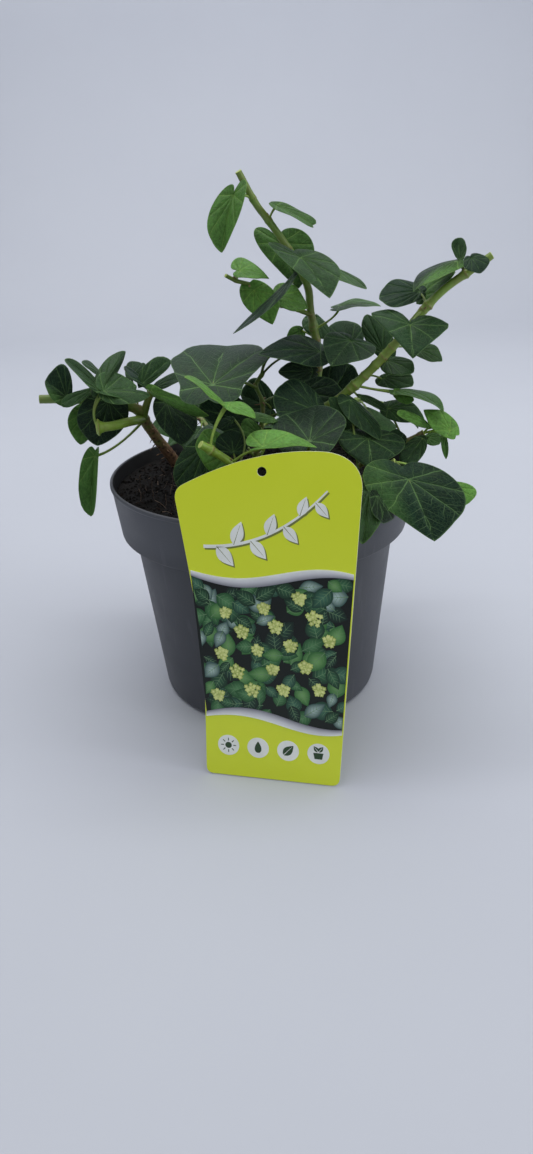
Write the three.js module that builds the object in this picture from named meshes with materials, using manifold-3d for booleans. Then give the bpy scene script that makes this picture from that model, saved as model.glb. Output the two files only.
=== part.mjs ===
// Irish ivy in a plastic nursery pot, with a plant care label leaning on the pot's front.
// Millimetres, +Z up. The origin is the middle of the pot's underside and -Y is the front.
import * as THREE from "three";
import { mergeVertices } from "three/addons/utils/BufferGeometryUtils.js";
import Module from "manifold-3d";

const wasm = await Module();
wasm.setup();

// Driving dimensions of the pot
const POT_HEIGHT = 130;
const RIM_RADIUS = 85;
const COLLAR_RADIUS = 81;
const COLLAR_HEIGHT = 100;
const BODY_RADIUS = 74;
const BASE_RADIUS = 64;
const FOOT_ROUND = 3.5;
const FOOT_FLARE = 0.2;
const COLLAR_STEP = 1;
const LIP_HEIGHT = 2.2;
const LIP_DEPTH = 0.8;
const LIP_ROUND = 0.6;
const POT_WALL = 1.8;
const POT_FLOOR = 2.5;
const POT_SIDES = 36;
const DRAIN_HOLES = 8;
const DRAIN_RADIUS = 5;
const DRAIN_CIRCLE = 48;
const DRAIN_SIDES = 8;

// Driving dimensions of the soil
const SOIL_LEVEL = 122.5;
const SOIL_SWELL = 0.9;
const SOIL_RINGS = [1, 0.78, 0.5, 0.22];
const HOLE_SIDES = 8;
const HOLE_STEPS = 5;
const CLEARANCE = 0.35;

// Driving dimensions of the care label
const LABEL_THICKNESS = 0.6;
const LABEL_FOOT = [-34.4, -102.7];
const LABEL_TURN = -13.57;
const LABEL_LEAN = 9.8;
const LABEL_HOLE = [29, 158];
const LABEL_HOLE_RADIUS = 2.2;

// Driving dimensions of the ivy
const BLADE_THICKNESS = 0.7;
const LARGE_BLADE = 24;
const RING_SHARE = 0.55;
const BLADE_MIDDLE = 0.28;
const STALK_RADII = [1.2, 0.3];
const STALK_SINK = 0.05;
const STALK_RISE = 0.16;
const STEM_SIDES = 6;
const STALK_SIDES = 3;
const STEM_STEP = 12;
const STALK_STEPS = 2;
const FUSE_TOLERANCE = 0.05;

// Outlines of the blades: how far the edge is from the stalk, as a share of the length from
// the stalk to the tip, at angles in degrees away from the tip.
const FORMS = {
  heart: [[0, 1], [12, 0.84], [26, 0.7], [46, 0.6], [70, 0.535], [96, 0.49], [118, 0.44], [140, 0.36],
    [158, 0.25], [172, 0.1], [180, 0.05]],
  closed: [[0, 1], [12, 0.84], [26, 0.72], [44, 0.65], [62, 0.59], [80, 0.53], [100, 0.475], [120, 0.43],
    [140, 0.385], [158, 0.335], [170, 0.26], [180, 0.22]],
  shield: [[0, 1], [12, 0.84], [26, 0.72], [44, 0.655], [60, 0.62], [76, 0.565], [98, 0.49], [120, 0.45],
    [143, 0.41], [162, 0.3], [173, 0.12], [180, 0.06]],
  lobed: [[0, 1], [12, 0.82], [26, 0.71], [42, 0.66], [56, 0.655], [68, 0.68], [78, 0.66], [92, 0.54],
    [110, 0.45], [135, 0.39], [158, 0.28], [172, 0.12], [180, 0.06]],
  blunt: [[0, 1], [9, 0.975], [18, 0.92], [28, 0.83], [44, 0.69], [64, 0.56], [84, 0.5], [104, 0.46],
    [124, 0.41], [144, 0.34], [160, 0.22], [172, 0.1], [180, 0.05]],
  broad: [[0, 1], [12, 1.02], [25, 0.95], [38, 0.79], [52, 0.71], [66, 0.53], [84, 0.41], [104, 0.36],
    [130, 0.41], [150, 0.38], [168, 0.31], [180, 0.25]],
  strap: [[0, 1], [8, 0.98], [16, 0.92], [25, 0.78], [45, 0.5], [75, 0.33], [105, 0.25], [135, 0.19],
    [160, 0.13], [180, 0.1]],
  oval: [[0, 1], [12, 0.8], [26, 0.61], [45, 0.43], [75, 0.3], [105, 0.235], [135, 0.18], [160, 0.12],
    [180, 0.1]],
};
const LARGE_ANGLES = [0, 18, 42, 74, 108, 140, 165, 180];
const SMALL_ANGLES = [0, 24, 58, 98, 138, 165, 180];

// Leafy stems. A branch has a route with its radius at both ends. Its leaves are rows of: place
// along the route, stalk end, tip, left and right shoulder seen from above, form, arch, and for a
// bent stalk the point that it passes.
const STEMS = {
  left_ivy_stem: [
    {
      route: [[-48, 40, 104], [-51, 36, 122], [-60, 20, 145], [-64, 10, 157], [-66, 4, 165],
        [-76, -2, 171], [-88, -5, 174], [-100, -8, 176], [-116, -10, 177]],
      radii: [3.6, 2.3],
      leaves: [
        [7.2, [-101, -13, 178], [-111, -14, 187], [-106, -19, 177], [-100, -9, 194], "heart", 0.06],
        [6.4, [-87, -14, 182], [-103, -20, 176], [-94, -21, 176], [-96, -15, 181], "oval", 0.04],
        [5.6, [-84, -4, 188], [-92, -6, 195], [-88, -10, 191], [-88, 2, 192], "oval", 0.03],
        [4, [-69, 8, 182], [-64, 18, 188], [-72, 16, 188], [-62, 13, 186], "heart", 0.04],
        [5.4, [-80, -9, 174], [-89, -9, 150], [-71, -7, 164], [-97, -11, 169], "heart", 0.05],
        [6.2, [-94, -4, 168], [-98, -9, 151], [-91, -5, 159], [-103, -9, 165], "heart", 0.05],
        [3.2, [-90, -15, 146], [-95, -22, 114], [-88, -29, 135], [-99, -22, 134], "strap", 0.03,
          [-78, -8, 147]],
      ],
    },
    {
      route: [[-65, 5, 160], [-71, -12, 163], [-78, -18, 163], [-86, -20, 163]],
      radii: [2.4, 2.5],
      leaves: [
        [2.9, [-81, -20, 182], [-99, -14, 198], [-90, -26, 190], [-88, -14, 192], "oval", 0.04,
          [-89, -22, 172]],
        [2.9, [-81, -19, 183], [-71, 8, 197], [-84, -6, 190], [-75, -2, 187], "heart", 0.05,
          [-89, -22, 172]],
        [2.9, [-80, -20, 182], [-64, -10, 182], [-78, -8, 190], [-70, -22, 179], "heart", -0.06,
          [-89, -22, 172]],
        [2.9, [-80, -21, 182], [-57, -14, 177], [-70, -12, 180], [-72, -25, 175], "oval", 0.05,
          [-89, -22, 172]],
      ],
    },
    {
      route: [[-65, 6, 160], [-60, 2, 172], [-57, 0, 178]],
      radii: [2.4, 1.6],
      leaves: [
        [1.8, [-63, 0, 180], [-47, 8, 191], [-60, 6, 190], [-52, 2, 184], "oval", 0.05],
        [1.8, [-58, 4, 177], [-72, 6, 189], [-66, -4, 183], [-64, 8, 183], "oval", 0.03],
        [1.8, [-57, -10, 179], [-26, -24, 168], [-43, -20, 180], [-48, -6, 171], "oval", 0.05],
        [1.3, [-50, 0, 170], [-43, -12, 149], [-34, -7, 163], [-57, -4, 164], "heart", 0.05],
        [1.8, [-58, 8, 176], [-41, 14, 181], [-51, 15, 181], [-48, 7, 177], "oval", 0.03],
      ],
    },
  ],
  tall_ivy_stem: [
    {
      route: [[24, 24, 104], [27, 23, 122], [33, 22, 165], [34, 21, 191], [32, 20, 202], [30, 17, 214],
        [29, 14, 224], [23, 10, 238], [16, 8, 249], [9, 5, 259], [3, 3, 267], [-5, 0, 282]],
      radii: [2.7, 1.7],
      leaves: [
        [10.2, [-8, -4, 272], [-15, -12, 246], [-3, -15, 270], [-21, -9, 264], "heart", 0.04],
        [9, [13, 2, 266], [31, 3, 256], [24, 9, 264], [20, -6, 261], "blunt", 0.02],
        [7.6, [15, 20, 247], [24, 17, 224], [32, 18, 247], [2, 18, 249], "heart", 0.05],
        [7.2, [24, -8, 242], [37, -26, 224], [42, -10, 238], [10, -12, 246], "closed", 0.05],
        [6.4, [39, 8, 236], [59, 4, 224], [49, 14, 232], [44, -6, 230], "heart", 0.04],
        [4, [45, 10, 215], [67, 8, 214], [53, 22, 216], [50, -2, 215], "heart", 0.06, [44, 20, 207]],
        [4.2, [34, 32, 207], [37, 22, 196], [41, 26, 201], [26, 26, 203], "heart", 0.05],
        [3.4, [26, 30, 200], [17, 22, 198], [25, 26, 195], [21, 26, 203], "heart", 0.04],
        [1.8, [39, 31, 158], [53, 30, 180], [34, 32, 174], [56, 30, 166], "heart", 0.04],
        [2.6, [50, -2, 199], [38, -18, 189], [61, -14, 194], [37, 0, 202], "heart", 0.06],
        [2.5, [52, 20, 192], [48, 32, 204], [40, 24, 198], [60, 26, 199], "heart", 0.03],
      ],
    },
    {
      route: [[31, 17, 210], [19, 14, 215], [11, 10, 218], [-1, 6, 228], [-9, 3, 231], [-14, 0, 234]],
      radii: [1.3, 1],
      leaves: [
        [4, [-7, 2, 236], [8, -6, 232], [-6, 12, 241], [-3, -9, 233], "heart", 0.08],
        [3, [0, 3, 226], [9, -3, 209], [12, 0, 223], [-6, 1, 220], "closed", 0.04],
        [1.6, [13, 8, 222], [28, 2, 216], [19, 16, 227], [17, -3, 216], "heart", 0.04],
        [2, [19, -12, 232], [-11, -22, 208], [12, -24, 225], [11, -8, 227], "oval", -0.01],
      ],
    },
  ],
  right_ivy_stem: [
    {
      route: [[27, 6, 104], [29, 4, 121], [33, -3, 160], [44, -10, 171], [56, -12, 182], [70, -15, 197],
        [85, -17, 215], [95, -18, 225], [105, -19, 232], [117, -20, 240]],
      radii: [2.8, 1.9],
      leaves: [
        [6, [77, -26, 210], [76, -42, 196], [95, -31, 210], [58, -23, 216], "lobed", 0.05],
        [6.2, [85, -8, 223], [63, -14, 222], [71, -20, 218], [75, -3, 229], "heart", 0.04],
        [6.2, [85, -4, 220], [102, -9, 232], [92, 3, 229], [89, -12, 219], "oval", 0.04],
        [8, [101, -16, 238], [78, -28, 225], [91, -30, 232], [91, -6, 235], "heart", 0.09],
        [8, [103, -14, 238], [103, -10, 248], [99, -13, 244], [107, -11, 244], "oval", -0.1],
        [8.3, [106, -24, 240], [110, -29, 233], [115, -22, 239], [102, -30, 236], "heart", 0.04],
        [5, [85, -10, 194], [96, -16, 189], [92, -7, 196], [87, -18, 190], "heart", 0.05],
        [4.4, [69, -4, 188], [82, -12, 183], [79, -4, 189], [69, -16, 183], "heart", 0.05],
        [4, [67, -4, 179], [82, -10, 175], [79, -3, 181], [68, -12, 175], "heart", 0.05],
        [4.7, [69, 10, 190], [62, 24, 208], [59, 16, 198], [75, 12, 196], "heart", 0.05],
        [3.6, [71, -20, 176], [94, -34, 166], [85, -14, 172], [78, -34, 173], "oval", 0.12,
          [62, -15, 175]],
        [3.6, [72, -20, 176], [77, -24, 169], [80, -22, 173], [70, -22, 173], "oval", 0.05,
          [62, -15, 175]],
        [3.4, [53, -16, 173], [67, -20, 165], [61, -16, 171], [59, -21, 168], "oval", 0.05],
        [2.3, [48, -24, 157], [37, -18, 173], [40, -23, 162], [50, -18, 167], "heart", 0.03],
      ],
    },
  ],
  low_right_ivy_stem: [
    {
      route: [[44, -4, 104], [46, -5, 122], [58, -12, 136], [74, -18, 146], [87, -20, 152]],
      radii: [1.7, 1.3],
      leaves: [
        [3.2, [69, -10, 164], [88, -16, 158], [78, -7, 167], [74, -18, 158], "heart", 0.08],
        [4, [89, -30, 158], [70, -36, 168], [77, -35, 162], [79, -31, 166], "oval", 0.03],
        [4, [98, -34, 157], [85, -28, 167], [89, -36, 158], [99, -27, 163], "closed", 0.03],
        [4, [96, -28, 154], [97, -32, 141], [98, -30, 149], [94, -30, 150], "oval", 0.05],
        [3.8, [89, -18, 149], [96, -20, 146], [95, -16, 151], [90, -22, 146], "heart", 0.05],
        [3.8, [86, -24, 151], [74, -34, 139], [85, -31, 143], [75, -28, 148], "oval", 0.05],
      ],
    },
  ],
  front_right_ivy_stem: [
    {
      route: [[38, -36, 104], [40, -38, 122], [50, -42, 134], [60, -43, 141], [68, -45, 145]],
      radii: [1.9, 1.4],
      leaves: [
        [2.4, [56, -31, 154], [56, -44, 141], [75, -33, 151], [40, -36, 155], "closed", 0.05],
        [2.2, [72, -27, 147], [72, -23, 156], [66, -26, 153], [77, -25, 151], "shield", 0.04],
        [2, [48, -20, 172], [62, -32, 153], [59, -24, 164], [45, -28, 165], "heart", 0.05],
        [4, [73, -58, 140], [84, -73, 112], [100, -62, 133], [51, -60, 138], "closed", 0.06],
        [4, [97, -38, 128], [105, -42, 118], [112, -37, 126], [96, -42, 123], "heart", 0.04],
        [2.4, [56, -66, 135], [58, -76, 124], [65, -64, 125], [52, -78, 132], "closed", 0.04],
        [2.4, [54, -56, 138], [47, -84, 117], [59, -70, 129], [43, -72, 130], "heart", 0.08],
      ],
    },
  ],
  front_ivy_stem: [
    {
      route: [[-4, -40, 104], [-6, -43, 122], [-11, -51, 141], [-15, -55, 151], [-24, -58, 159],
        [-29, -60, 163]],
      radii: [2, 2.1],
      leaves: [
        [4.1, [-15, -52, 180], [-2, -57, 174], [-8, -46, 179], [-10, -60, 177], "heart", 0.06,
          [-24, -57, 169]],
        [4.1, [-16, -52, 180], [-35, -50, 194], [-26, -57, 187], [-26, -44, 187], "oval", 0.05,
          [-24, -57, 169]],
        [3, [1, -68, 163], [27, -66, 161], [2, -57, 168], [7, -72, 163], "heart", 0.04],
        [1.6, [8, -44, 169], [-4, -46, 172], [1, -48, 169], [1, -40, 172], "oval", 0.03, [3, -50, 158]],
        [2.6, [-13, -46, 171], [-21, -44, 168], [-17, -46, 167], [-16, -44, 172], "oval", 0.03,
          [-3, -48, 160]],
        [2.2, [-18, -38, 150], [-33, -46, 158], [-24, -45, 143], [-24, -40, 165], "heart", 0.03],
        [2.4, [-14, -42, 153], [-15, -36, 163], [-23, -41, 158], [-6, -41, 158], "heart", 0.03],
        [1.6, [24, -56, 161], [30, -24, 171], [6, -47, 166], [43, -46, 166], "shield", 0.05,
          [8, -58, 142]],
      ],
    },
  ],
  middle_ivy_stem: [
    {
      route: [[-6, 6, 104], [-6, 5, 122], [0, 2, 150], [2, 2, 167], [-1, 6, 176], [3, 7, 182]],
      radii: [1.9, 1],
      leaves: [
        [3.8, [-23, -30, 185], [-16, 12, 196], [-45, -9, 193], [6, -11, 192], "broad", 0.05],
        [2, [1, -44, 161], [-9, -38, 167], [-7, -43, 161], [-3, -39, 168], "heart", 0.03],
        [2.4, [31, -20, 166], [8, -16, 175], [15, -30, 163], [23, -8, 180], "heart", 0.03],
        [2.1, [-5, -13, 159], [-32, -12, 169], [-18, -19, 157], [-16, -7, 176], "heart", 0.03],
        [3, [23, 12, 169], [48, 10, 165], [36, 15, 177], [35, 4, 159], "heart", 0.03],
        [1.5, [-29, -30, 153], [-40, -36, 127], [-21, -34, 142], [-45, -31, 145], "heart", 0.04],
        [3, [7, 12, 161], [-10, 14, 169], [-1, 8, 157], [1, 16, 177], "heart", 0.04],
        [1.5, [-14, 16, 144], [-37, 30, 143], [-32, 12, 138], [-22, 35, 147], "heart", 0.04],
        [1.4, [8, 20, 141], [16, 44, 133], [-2, 35, 139], [24, 29, 136], "heart", 0.05],
        [4.8, [30, 0, 183], [11, -6, 185], [21, -7, 180], [22, 0, 189], "heart", 0.03, [19, 2, 201]],
        [4.8, [34, 2, 193], [1, -16, 197], [24, -15, 190], [26, 12, 200], "heart", 0.05, [5, 6, 201]],
      ],
    },
  ],
  rear_left_ivy_stem: [
    {
      route: [[-22, 44, 104], [-24, 46, 122], [-32, 58, 138], [-42, 70, 147], [-53, 81, 149],
        [-64, 92, 145]],
      radii: [2.1, 1.3],
      leaves: [
        [5, [-56, 97, 140], [-61, 114, 118], [-72, 103, 130], [-45, 108, 131], "heart", 0.06],
        [4, [-47, 84, 146], [-64, 96, 127], [-62, 80, 137], [-49, 100, 133], "heart", 0.06],
        [4, [-38, 92, 148], [-36, 112, 126], [-51, 100, 139], [-22, 101, 138], "shield", 0.06],
        [3, [-18, 74, 146], [-4, 92, 132], [-18, 88, 141], [-2, 74, 139], "heart", 0.06],
        [3, [-42, 56, 140], [-57, 50, 131], [-51, 44, 134], [-52, 62, 138], "heart", 0.04],
        [2.4, [-36, 50, 140], [-43, 34, 130], [-32, 38, 133], [-48, 46, 138], "heart", 0.04],
      ],
    },
    {
      route: [[-25, 48, 125.5], [-17, 54, 131], [-8, 63, 135], [2, 72, 135]],
      radii: [1.5, 1.1],
      leaves: [
        [3, [5, 79, 135], [9, 101, 119], [-3, 91, 128], [21, 90, 127], "heart", 0.06],
        [1.7, [2, 54, 134], [20, 50, 126], [12, 61, 131], [9, 43, 130], "heart", 0.04],
      ],
    },
  ],
  rear_right_ivy_stem: [
    {
      route: [[34, 44, 104], [37, 46, 122], [45, 57, 137], [54, 68, 145], [62, 79, 147], [67, 92, 143]],
      radii: [2.2, 1.3],
      leaves: [
        [5, [47, 98, 135], [43, 114, 116], [31, 104, 128], [59, 108, 125], "heart", 0.06],
        [4, [85, 76, 144], [103, 84, 125], [91, 92, 133], [98, 67, 136], "lobed", 0.06],
        [4, [72, 96, 137], [84, 108, 116], [64, 108, 127], [90, 96, 125], "heart", 0.06],
        [3, [26, 70, 146], [14, 88, 136], [12, 70, 141], [27, 86, 140], "heart", 0.06],
        [3, [55, 62, 140], [69, 70, 122], [58, 74, 126], [69, 54, 136], "shield", 0.04],
        [2.4, [54, 44, 137], [68, 30, 127], [68, 42, 134], [52, 30, 130], "heart", 0.04],
        [1.7, [28, 58, 134], [22, 74, 128], [16, 64, 131], [33, 70, 131], "heart", 0.04],
      ],
    },
  ],
};

// Shared solid helpers

function solidFrom(geometry) {
  const bare = geometry.index ? geometry.toNonIndexed() : geometry.clone();
  bare.deleteAttribute("normal");
  bare.deleteAttribute("uv");
  const merged = mergeVertices(bare, 1e-4);
  const mesh = new wasm.Mesh({
    numProp: 3,
    vertProperties: new Float32Array(merged.attributes.position.array),
    triVerts: new Uint32Array(merged.index.array),
  });
  return new wasm.Manifold(mesh);
}

function geometryFrom(solid) {
  const mesh = solid.getMesh();
  const geometry = new THREE.BufferGeometry();
  geometry.setAttribute("position", new THREE.BufferAttribute(mesh.vertProperties, 3));
  geometry.setIndex(new THREE.BufferAttribute(mesh.triVerts, 1));
  geometry.computeVertexNormals();
  return geometry;
}

function closedGeometry(points, faces) {
  const geometry = new THREE.BufferGeometry().setFromPoints(points);
  geometry.setIndex(faces.flat());
  return geometry;
}

function vector(values) {
  return new THREE.Vector3(...values);
}

// The one body of a solid, with any sealed hollow in it filled. A leaf that has come loose stops the build.
function wholeBody(solid) {
  const bodies = solid.decompose().filter((body) => body.volume() > 0);
  if (bodies.length > 1) {
    throw new Error(`${bodies.length - 1} loose bodies beside the first`);
  }
  return bodies[0];
}

// A closed tube along a curve, whose radius changes evenly from end to end.
function tube(curve, steps, sides, radii) {
  const frames = curve.computeFrenetFrames(steps, false);
  const points = [];
  const faces = [];
  for (let step = 0; step <= steps; step++) {
    const centre = curve.getPointAt(step / steps);
    const radius = radii[0] + (radii[1] - radii[0]) * (step / steps);
    for (let side = 0; side < sides; side++) {
      const turn = (side / sides) * 2 * Math.PI;
      const point = centre.clone();
      point.addScaledVector(frames.normals[step], radius * Math.cos(turn));
      point.addScaledVector(frames.binormals[step], radius * Math.sin(turn));
      points.push(point);
    }
  }
  const last = steps * sides;
  for (let side = 0; side < sides; side++) {
    const next = (side + 1) % sides;
    for (let step = 0; step < steps; step++) {
      const low = step * sides;
      faces.push([low + side, low + next, low + sides + side]);
      faces.push([low + next, low + sides + next, low + sides + side]);
    }
    if (side > 0 && next > 0) {
      faces.push([0, next, side]);
      faces.push([last, last + side, last + next]);
    }
  }
  return closedGeometry(points, faces);
}

// Pot

function potGeometry() {
  const innerBase = BASE_RADIUS - POT_WALL;
  const footBevel = 0.3 * FOOT_ROUND;
  const outline = [
    [0, 0], [BASE_RADIUS - FOOT_ROUND, 0], [BASE_RADIUS - footBevel, footBevel],
    [BASE_RADIUS + FOOT_FLARE, FOOT_ROUND], [BODY_RADIUS, COLLAR_HEIGHT - COLLAR_STEP],
    [COLLAR_RADIUS, COLLAR_HEIGHT], [RIM_RADIUS - LIP_DEPTH, POT_HEIGHT - LIP_HEIGHT],
    [RIM_RADIUS, POT_HEIGHT - LIP_HEIGHT + LIP_ROUND], [RIM_RADIUS, POT_HEIGHT - LIP_ROUND],
    [RIM_RADIUS - LIP_ROUND, POT_HEIGHT], [RIM_RADIUS - POT_WALL, POT_HEIGHT],
    [COLLAR_RADIUS - POT_WALL, COLLAR_HEIGHT + COLLAR_STEP], [BODY_RADIUS - POT_WALL, COLLAR_HEIGHT],
    [innerBase, POT_FLOOR], [0, POT_FLOOR],
  ];
  const profile = outline.map(([radius, height]) => new THREE.Vector2(radius, height));
  let pot = solidFrom(new THREE.LatheGeometry(profile, POT_SIDES).rotateX(Math.PI / 2));
  for (let hole = 0; hole < DRAIN_HOLES; hole++) {
    const turn = ((hole + 0.5) / DRAIN_HOLES) * 2 * Math.PI;
    const drill = new THREE.CylinderGeometry(DRAIN_RADIUS, DRAIN_RADIUS, 4 * POT_FLOOR, DRAIN_SIDES);
    drill.rotateX(Math.PI / 2);
    drill.translate(DRAIN_CIRCLE * Math.cos(turn), DRAIN_CIRCLE * Math.sin(turn), 0);
    pot = pot.subtract(solidFrom(drill));
  }
  return geometryFrom(pot);
}

// Soil, with a plain hole for each stem

function soilRise(x, y) {
  const ripple = Math.sin(x / 7.3 + 0.4) * Math.cos(y / 6.1) + 0.6 * Math.sin((x + 2 * y) / 11.7);
  return SOIL_SWELL * ripple;
}

function soilGeometry(holes) {
  const gap = POT_WALL + CLEARANCE;
  const slope = (RIM_RADIUS - COLLAR_RADIUS) / (POT_HEIGHT - COLLAR_HEIGHT);
  const edge = COLLAR_RADIUS - gap + slope * (SOIL_LEVEL - COLLAR_HEIGHT);
  const outline = [
    [0, POT_FLOOR + CLEARANCE], [BASE_RADIUS - gap, POT_FLOOR + CLEARANCE],
    [BODY_RADIUS - gap, COLLAR_HEIGHT], [COLLAR_RADIUS - gap, COLLAR_HEIGHT + COLLAR_STEP + CLEARANCE],
    ...SOIL_RINGS.map((share) => [edge * share, SOIL_LEVEL]), [0, SOIL_LEVEL],
  ];
  const profile = outline.map(([radius, height]) => new THREE.Vector2(radius, height));
  const geometry = new THREE.LatheGeometry(profile, POT_SIDES).rotateX(Math.PI / 2);
  const position = geometry.attributes.position;
  for (let i = 0; i < position.count; i++) {
    const x = position.getX(i);
    const y = position.getY(i);
    const inside = Math.hypot(x, y) < edge - 1;
    if (inside && position.getZ(i) > SOIL_LEVEL - CLEARANCE) {
      position.setZ(i, SOIL_LEVEL + soilRise(x, y));
    }
  }
  let soil = solidFrom(geometry);
  for (const hole of holes) {
    soil = soil.subtract(hole);
  }
  return geometryFrom(wholeBody(soil));
}

// Care label: a card drawn upright, with its foot's left corner at the origin

function labelGeometry() {
  const card = new THREE.Shape();
  card.moveTo(3, 0);
  card.lineTo(64, 0);
  card.quadraticCurveTo(68.4, 0, 68.6, 4.5);
  card.lineTo(75.9, 151);
  card.bezierCurveTo(76.2, 161, 69, 168, 56, 168);
  card.bezierCurveTo(34, 168.5, 12, 162, -9.5, 150.8);
  card.quadraticCurveTo(-14.2, 148.6, -13.8, 143.5);
  card.bezierCurveTo(-8.5, 112, -1, 75, -1, 40);
  card.lineTo(-1, 4);
  card.quadraticCurveTo(-1, 0, 3, 0);
  const punched = new THREE.Path();
  punched.absarc(...LABEL_HOLE, LABEL_HOLE_RADIUS, 0, 2 * Math.PI, true);
  card.holes.push(punched);
  const settings = { depth: LABEL_THICKNESS, bevelEnabled: false, curveSegments: 6 };
  return new THREE.ExtrudeGeometry(card, settings);
}

// Ivy leaves

function reach(form, angle) {
  const rows = FORMS[form];
  const upper = rows.findIndex(([degrees]) => degrees >= angle);
  if (upper === 0) {
    return rows[0][1];
  }
  const [lowAngle, lowReach] = rows[upper - 1];
  const [highAngle, highReach] = rows[upper];
  return lowReach + ((highReach - lowReach) * (angle - lowAngle)) / (highAngle - lowAngle);
}

// The widest place of a form, as shares of its length across and along the blade.
function shoulderOf(form) {
  let widest = { across: 0, along: 0 };
  for (let angle = 0; angle <= 180; angle++) {
    const turn = THREE.MathUtils.degToRad(angle);
    const across = reach(form, angle) * Math.sin(turn);
    if (across > widest.across) {
      widest = { across, along: reach(form, angle) * Math.cos(turn) };
    }
  }
  return widest;
}

// The middle surface of a blade, which gives a point and the upper side's normal there.
function bladeSurface([, base, tip, left, right, form, arch]) {
  const origin = vector(base);
  const along = vector(tip).sub(origin);
  const length = along.length();
  const widest = shoulderOf(form);
  const [toLeft, toRight] = [left, right].map((shoulder) => {
    const side = vector(shoulder).sub(origin).addScaledVector(along, -widest.along);
    return side.divideScalar(widest.across);
  });
  const spread = toLeft.clone().normalize().sub(toRight.clone().normalize());
  const up = along.clone().cross(spread).normalize();
  const leftUp = along.clone().cross(toLeft).normalize();
  const rightUp = toRight.clone().cross(along).normalize();
  const rise = (share) => 4 * arch * length * share * (1 - share);
  const pointAt = (forward, across) => {
    const side = across < 0 ? toLeft : toRight;
    const point = origin.clone().addScaledVector(along, forward);
    point.addScaledVector(side, Math.abs(across));
    return point.addScaledVector(up, rise(forward));
  };
  const normalAt = (across) => {
    if (Math.abs(across) < 1e-6) {
      return up;
    }
    return across < 0 ? leftUp : rightUp;
  };
  const edgeAt = (angle) => {
    const turn = THREE.MathUtils.degToRad(angle);
    const radius = reach(form, Math.abs(angle));
    return [radius * Math.cos(turn), radius * Math.sin(turn)];
  };
  return { length, pointAt, normalAt, edgeAt };
}

// A thin closed blade, split into triangles alike on its upper and lower faces.
function bladeGeometry(leaf) {
  const { length, pointAt, normalAt, edgeAt } = bladeSurface(leaf);
  const large = length > LARGE_BLADE;
  const half = large ? LARGE_ANGLES : SMALL_ANGLES;
  const angles = [...half, ...half.slice(1, -1).reverse().map((angle) => -angle)];
  const shares = large ? [RING_SHARE, 1] : [1];
  const count = angles.length;
  const upper = [];
  const lower = [];
  const addPoint = (forward, across) => {
    const point = pointAt(forward, across);
    const offset = normalAt(across).clone().multiplyScalar(BLADE_THICKNESS / 2);
    upper.push(point.clone().add(offset));
    lower.push(point.clone().sub(offset));
  };
  addPoint(BLADE_MIDDLE, 0);
  for (const share of shares) {
    for (const angle of angles) {
      const [forward, across] = edgeAt(angle);
      addPoint(BLADE_MIDDLE + share * (forward - BLADE_MIDDLE), share * across);
    }
  }
  const faces = [];
  const shift = upper.length;
  const both = (a, b, c) => faces.push([a, b, c], [shift + a, shift + c, shift + b]);
  for (let i = 0; i < count; i++) {
    const next = (i + 1) % count;
    both(0, 1 + next, 1 + i);
    if (large) {
      const outer = 1 + count;
      both(1 + i, 1 + next, outer + next);
      both(1 + i, outer + next, outer + i);
    }
    const edge = 1 + count * (shares.length - 1);
    faces.push([edge + i, edge + next, shift + edge + i]);
    faces.push([edge + next, shift + edge + next, shift + edge + i]);
  }
  return closedGeometry([...upper, ...lower], faces);
}

// A stalk that thins towards the blade and ends inside it.
function stalkGeometry(start, leaf) {
  const end = bladeSurface(leaf).pointAt(STALK_SINK, 0);
  const via = leaf[7] ? vector(leaf[7]) : start.clone().lerp(end, 0.5);
  if (!leaf[7]) {
    via.z += STALK_RISE * end.distanceTo(start);
  }
  const curve = new THREE.QuadraticBezierCurve3(start, via, end);
  return tube(curve, STALK_STEPS, STALK_SIDES, STALK_RADII);
}

// Stems

function stemCurve(route) {
  return new THREE.CatmullRomCurve3(route.map(vector), false, "centripetal");
}

function branchSolid({ route, radii, leaves }) {
  const curve = stemCurve(route);
  const steps = Math.max(2, Math.round(curve.getLength() / STEM_STEP));
  let solid = solidFrom(tube(curve, steps, STEM_SIDES, radii));
  for (const leaf of leaves) {
    const start = curve.getPoint(leaf[0] / (route.length - 1));
    solid = solid.add(solidFrom(stalkGeometry(start, leaf)));
    solid = solid.add(solidFrom(bladeGeometry(leaf)));
  }
  return solid;
}

function leafyStem(branches) {
  const parts = branches.map(branchSolid);
  const fused = parts.reduce((whole, part) => whole.add(part));
  return geometryFrom(wholeBody(fused).simplify(FUSE_TOLERANCE));
}

// The hole that a stem stands in: its own lower end, a little wider and deeper.
function stemHole([{ route, radii }]) {
  const [foot, soilLine, next] = route.map(vector);
  const down = foot.clone().sub(soilLine).normalize();
  foot.addScaledVector(down, CLEARANCE);
  const curve = stemCurve([foot.toArray(), soilLine.toArray(), next.toArray()]);
  const radius = radii[0] + 2 * CLEARANCE;
  return solidFrom(tube(curve, HOLE_STEPS, HOLE_SIDES, [radius, radius]));
}

// Materials

const potPlastic = new THREE.MeshStandardMaterial({ color: "#45474d", roughness: 0.55, metalness: 0 });
const pottingSoil = new THREE.MeshStandardMaterial({ color: "#2a211c", roughness: 0.95, metalness: 0 });
const labelCard = new THREE.MeshStandardMaterial({ color: "#a8b82c", roughness: 0.4, metalness: 0 });
const ivyLeaf = new THREE.MeshStandardMaterial({ color: "#33583a", roughness: 0.5, metalness: 0 });

// Assembly

function named(name, geometry, material) {
  const mesh = new THREE.Mesh(geometry, material);
  mesh.name = name;
  return mesh;
}

const plant = new THREE.Group();
plant.add(named("nursery_pot", potGeometry(), potPlastic));
plant.add(named("potting_soil", soilGeometry(Object.values(STEMS).map(stemHole)), pottingSoil));

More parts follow.
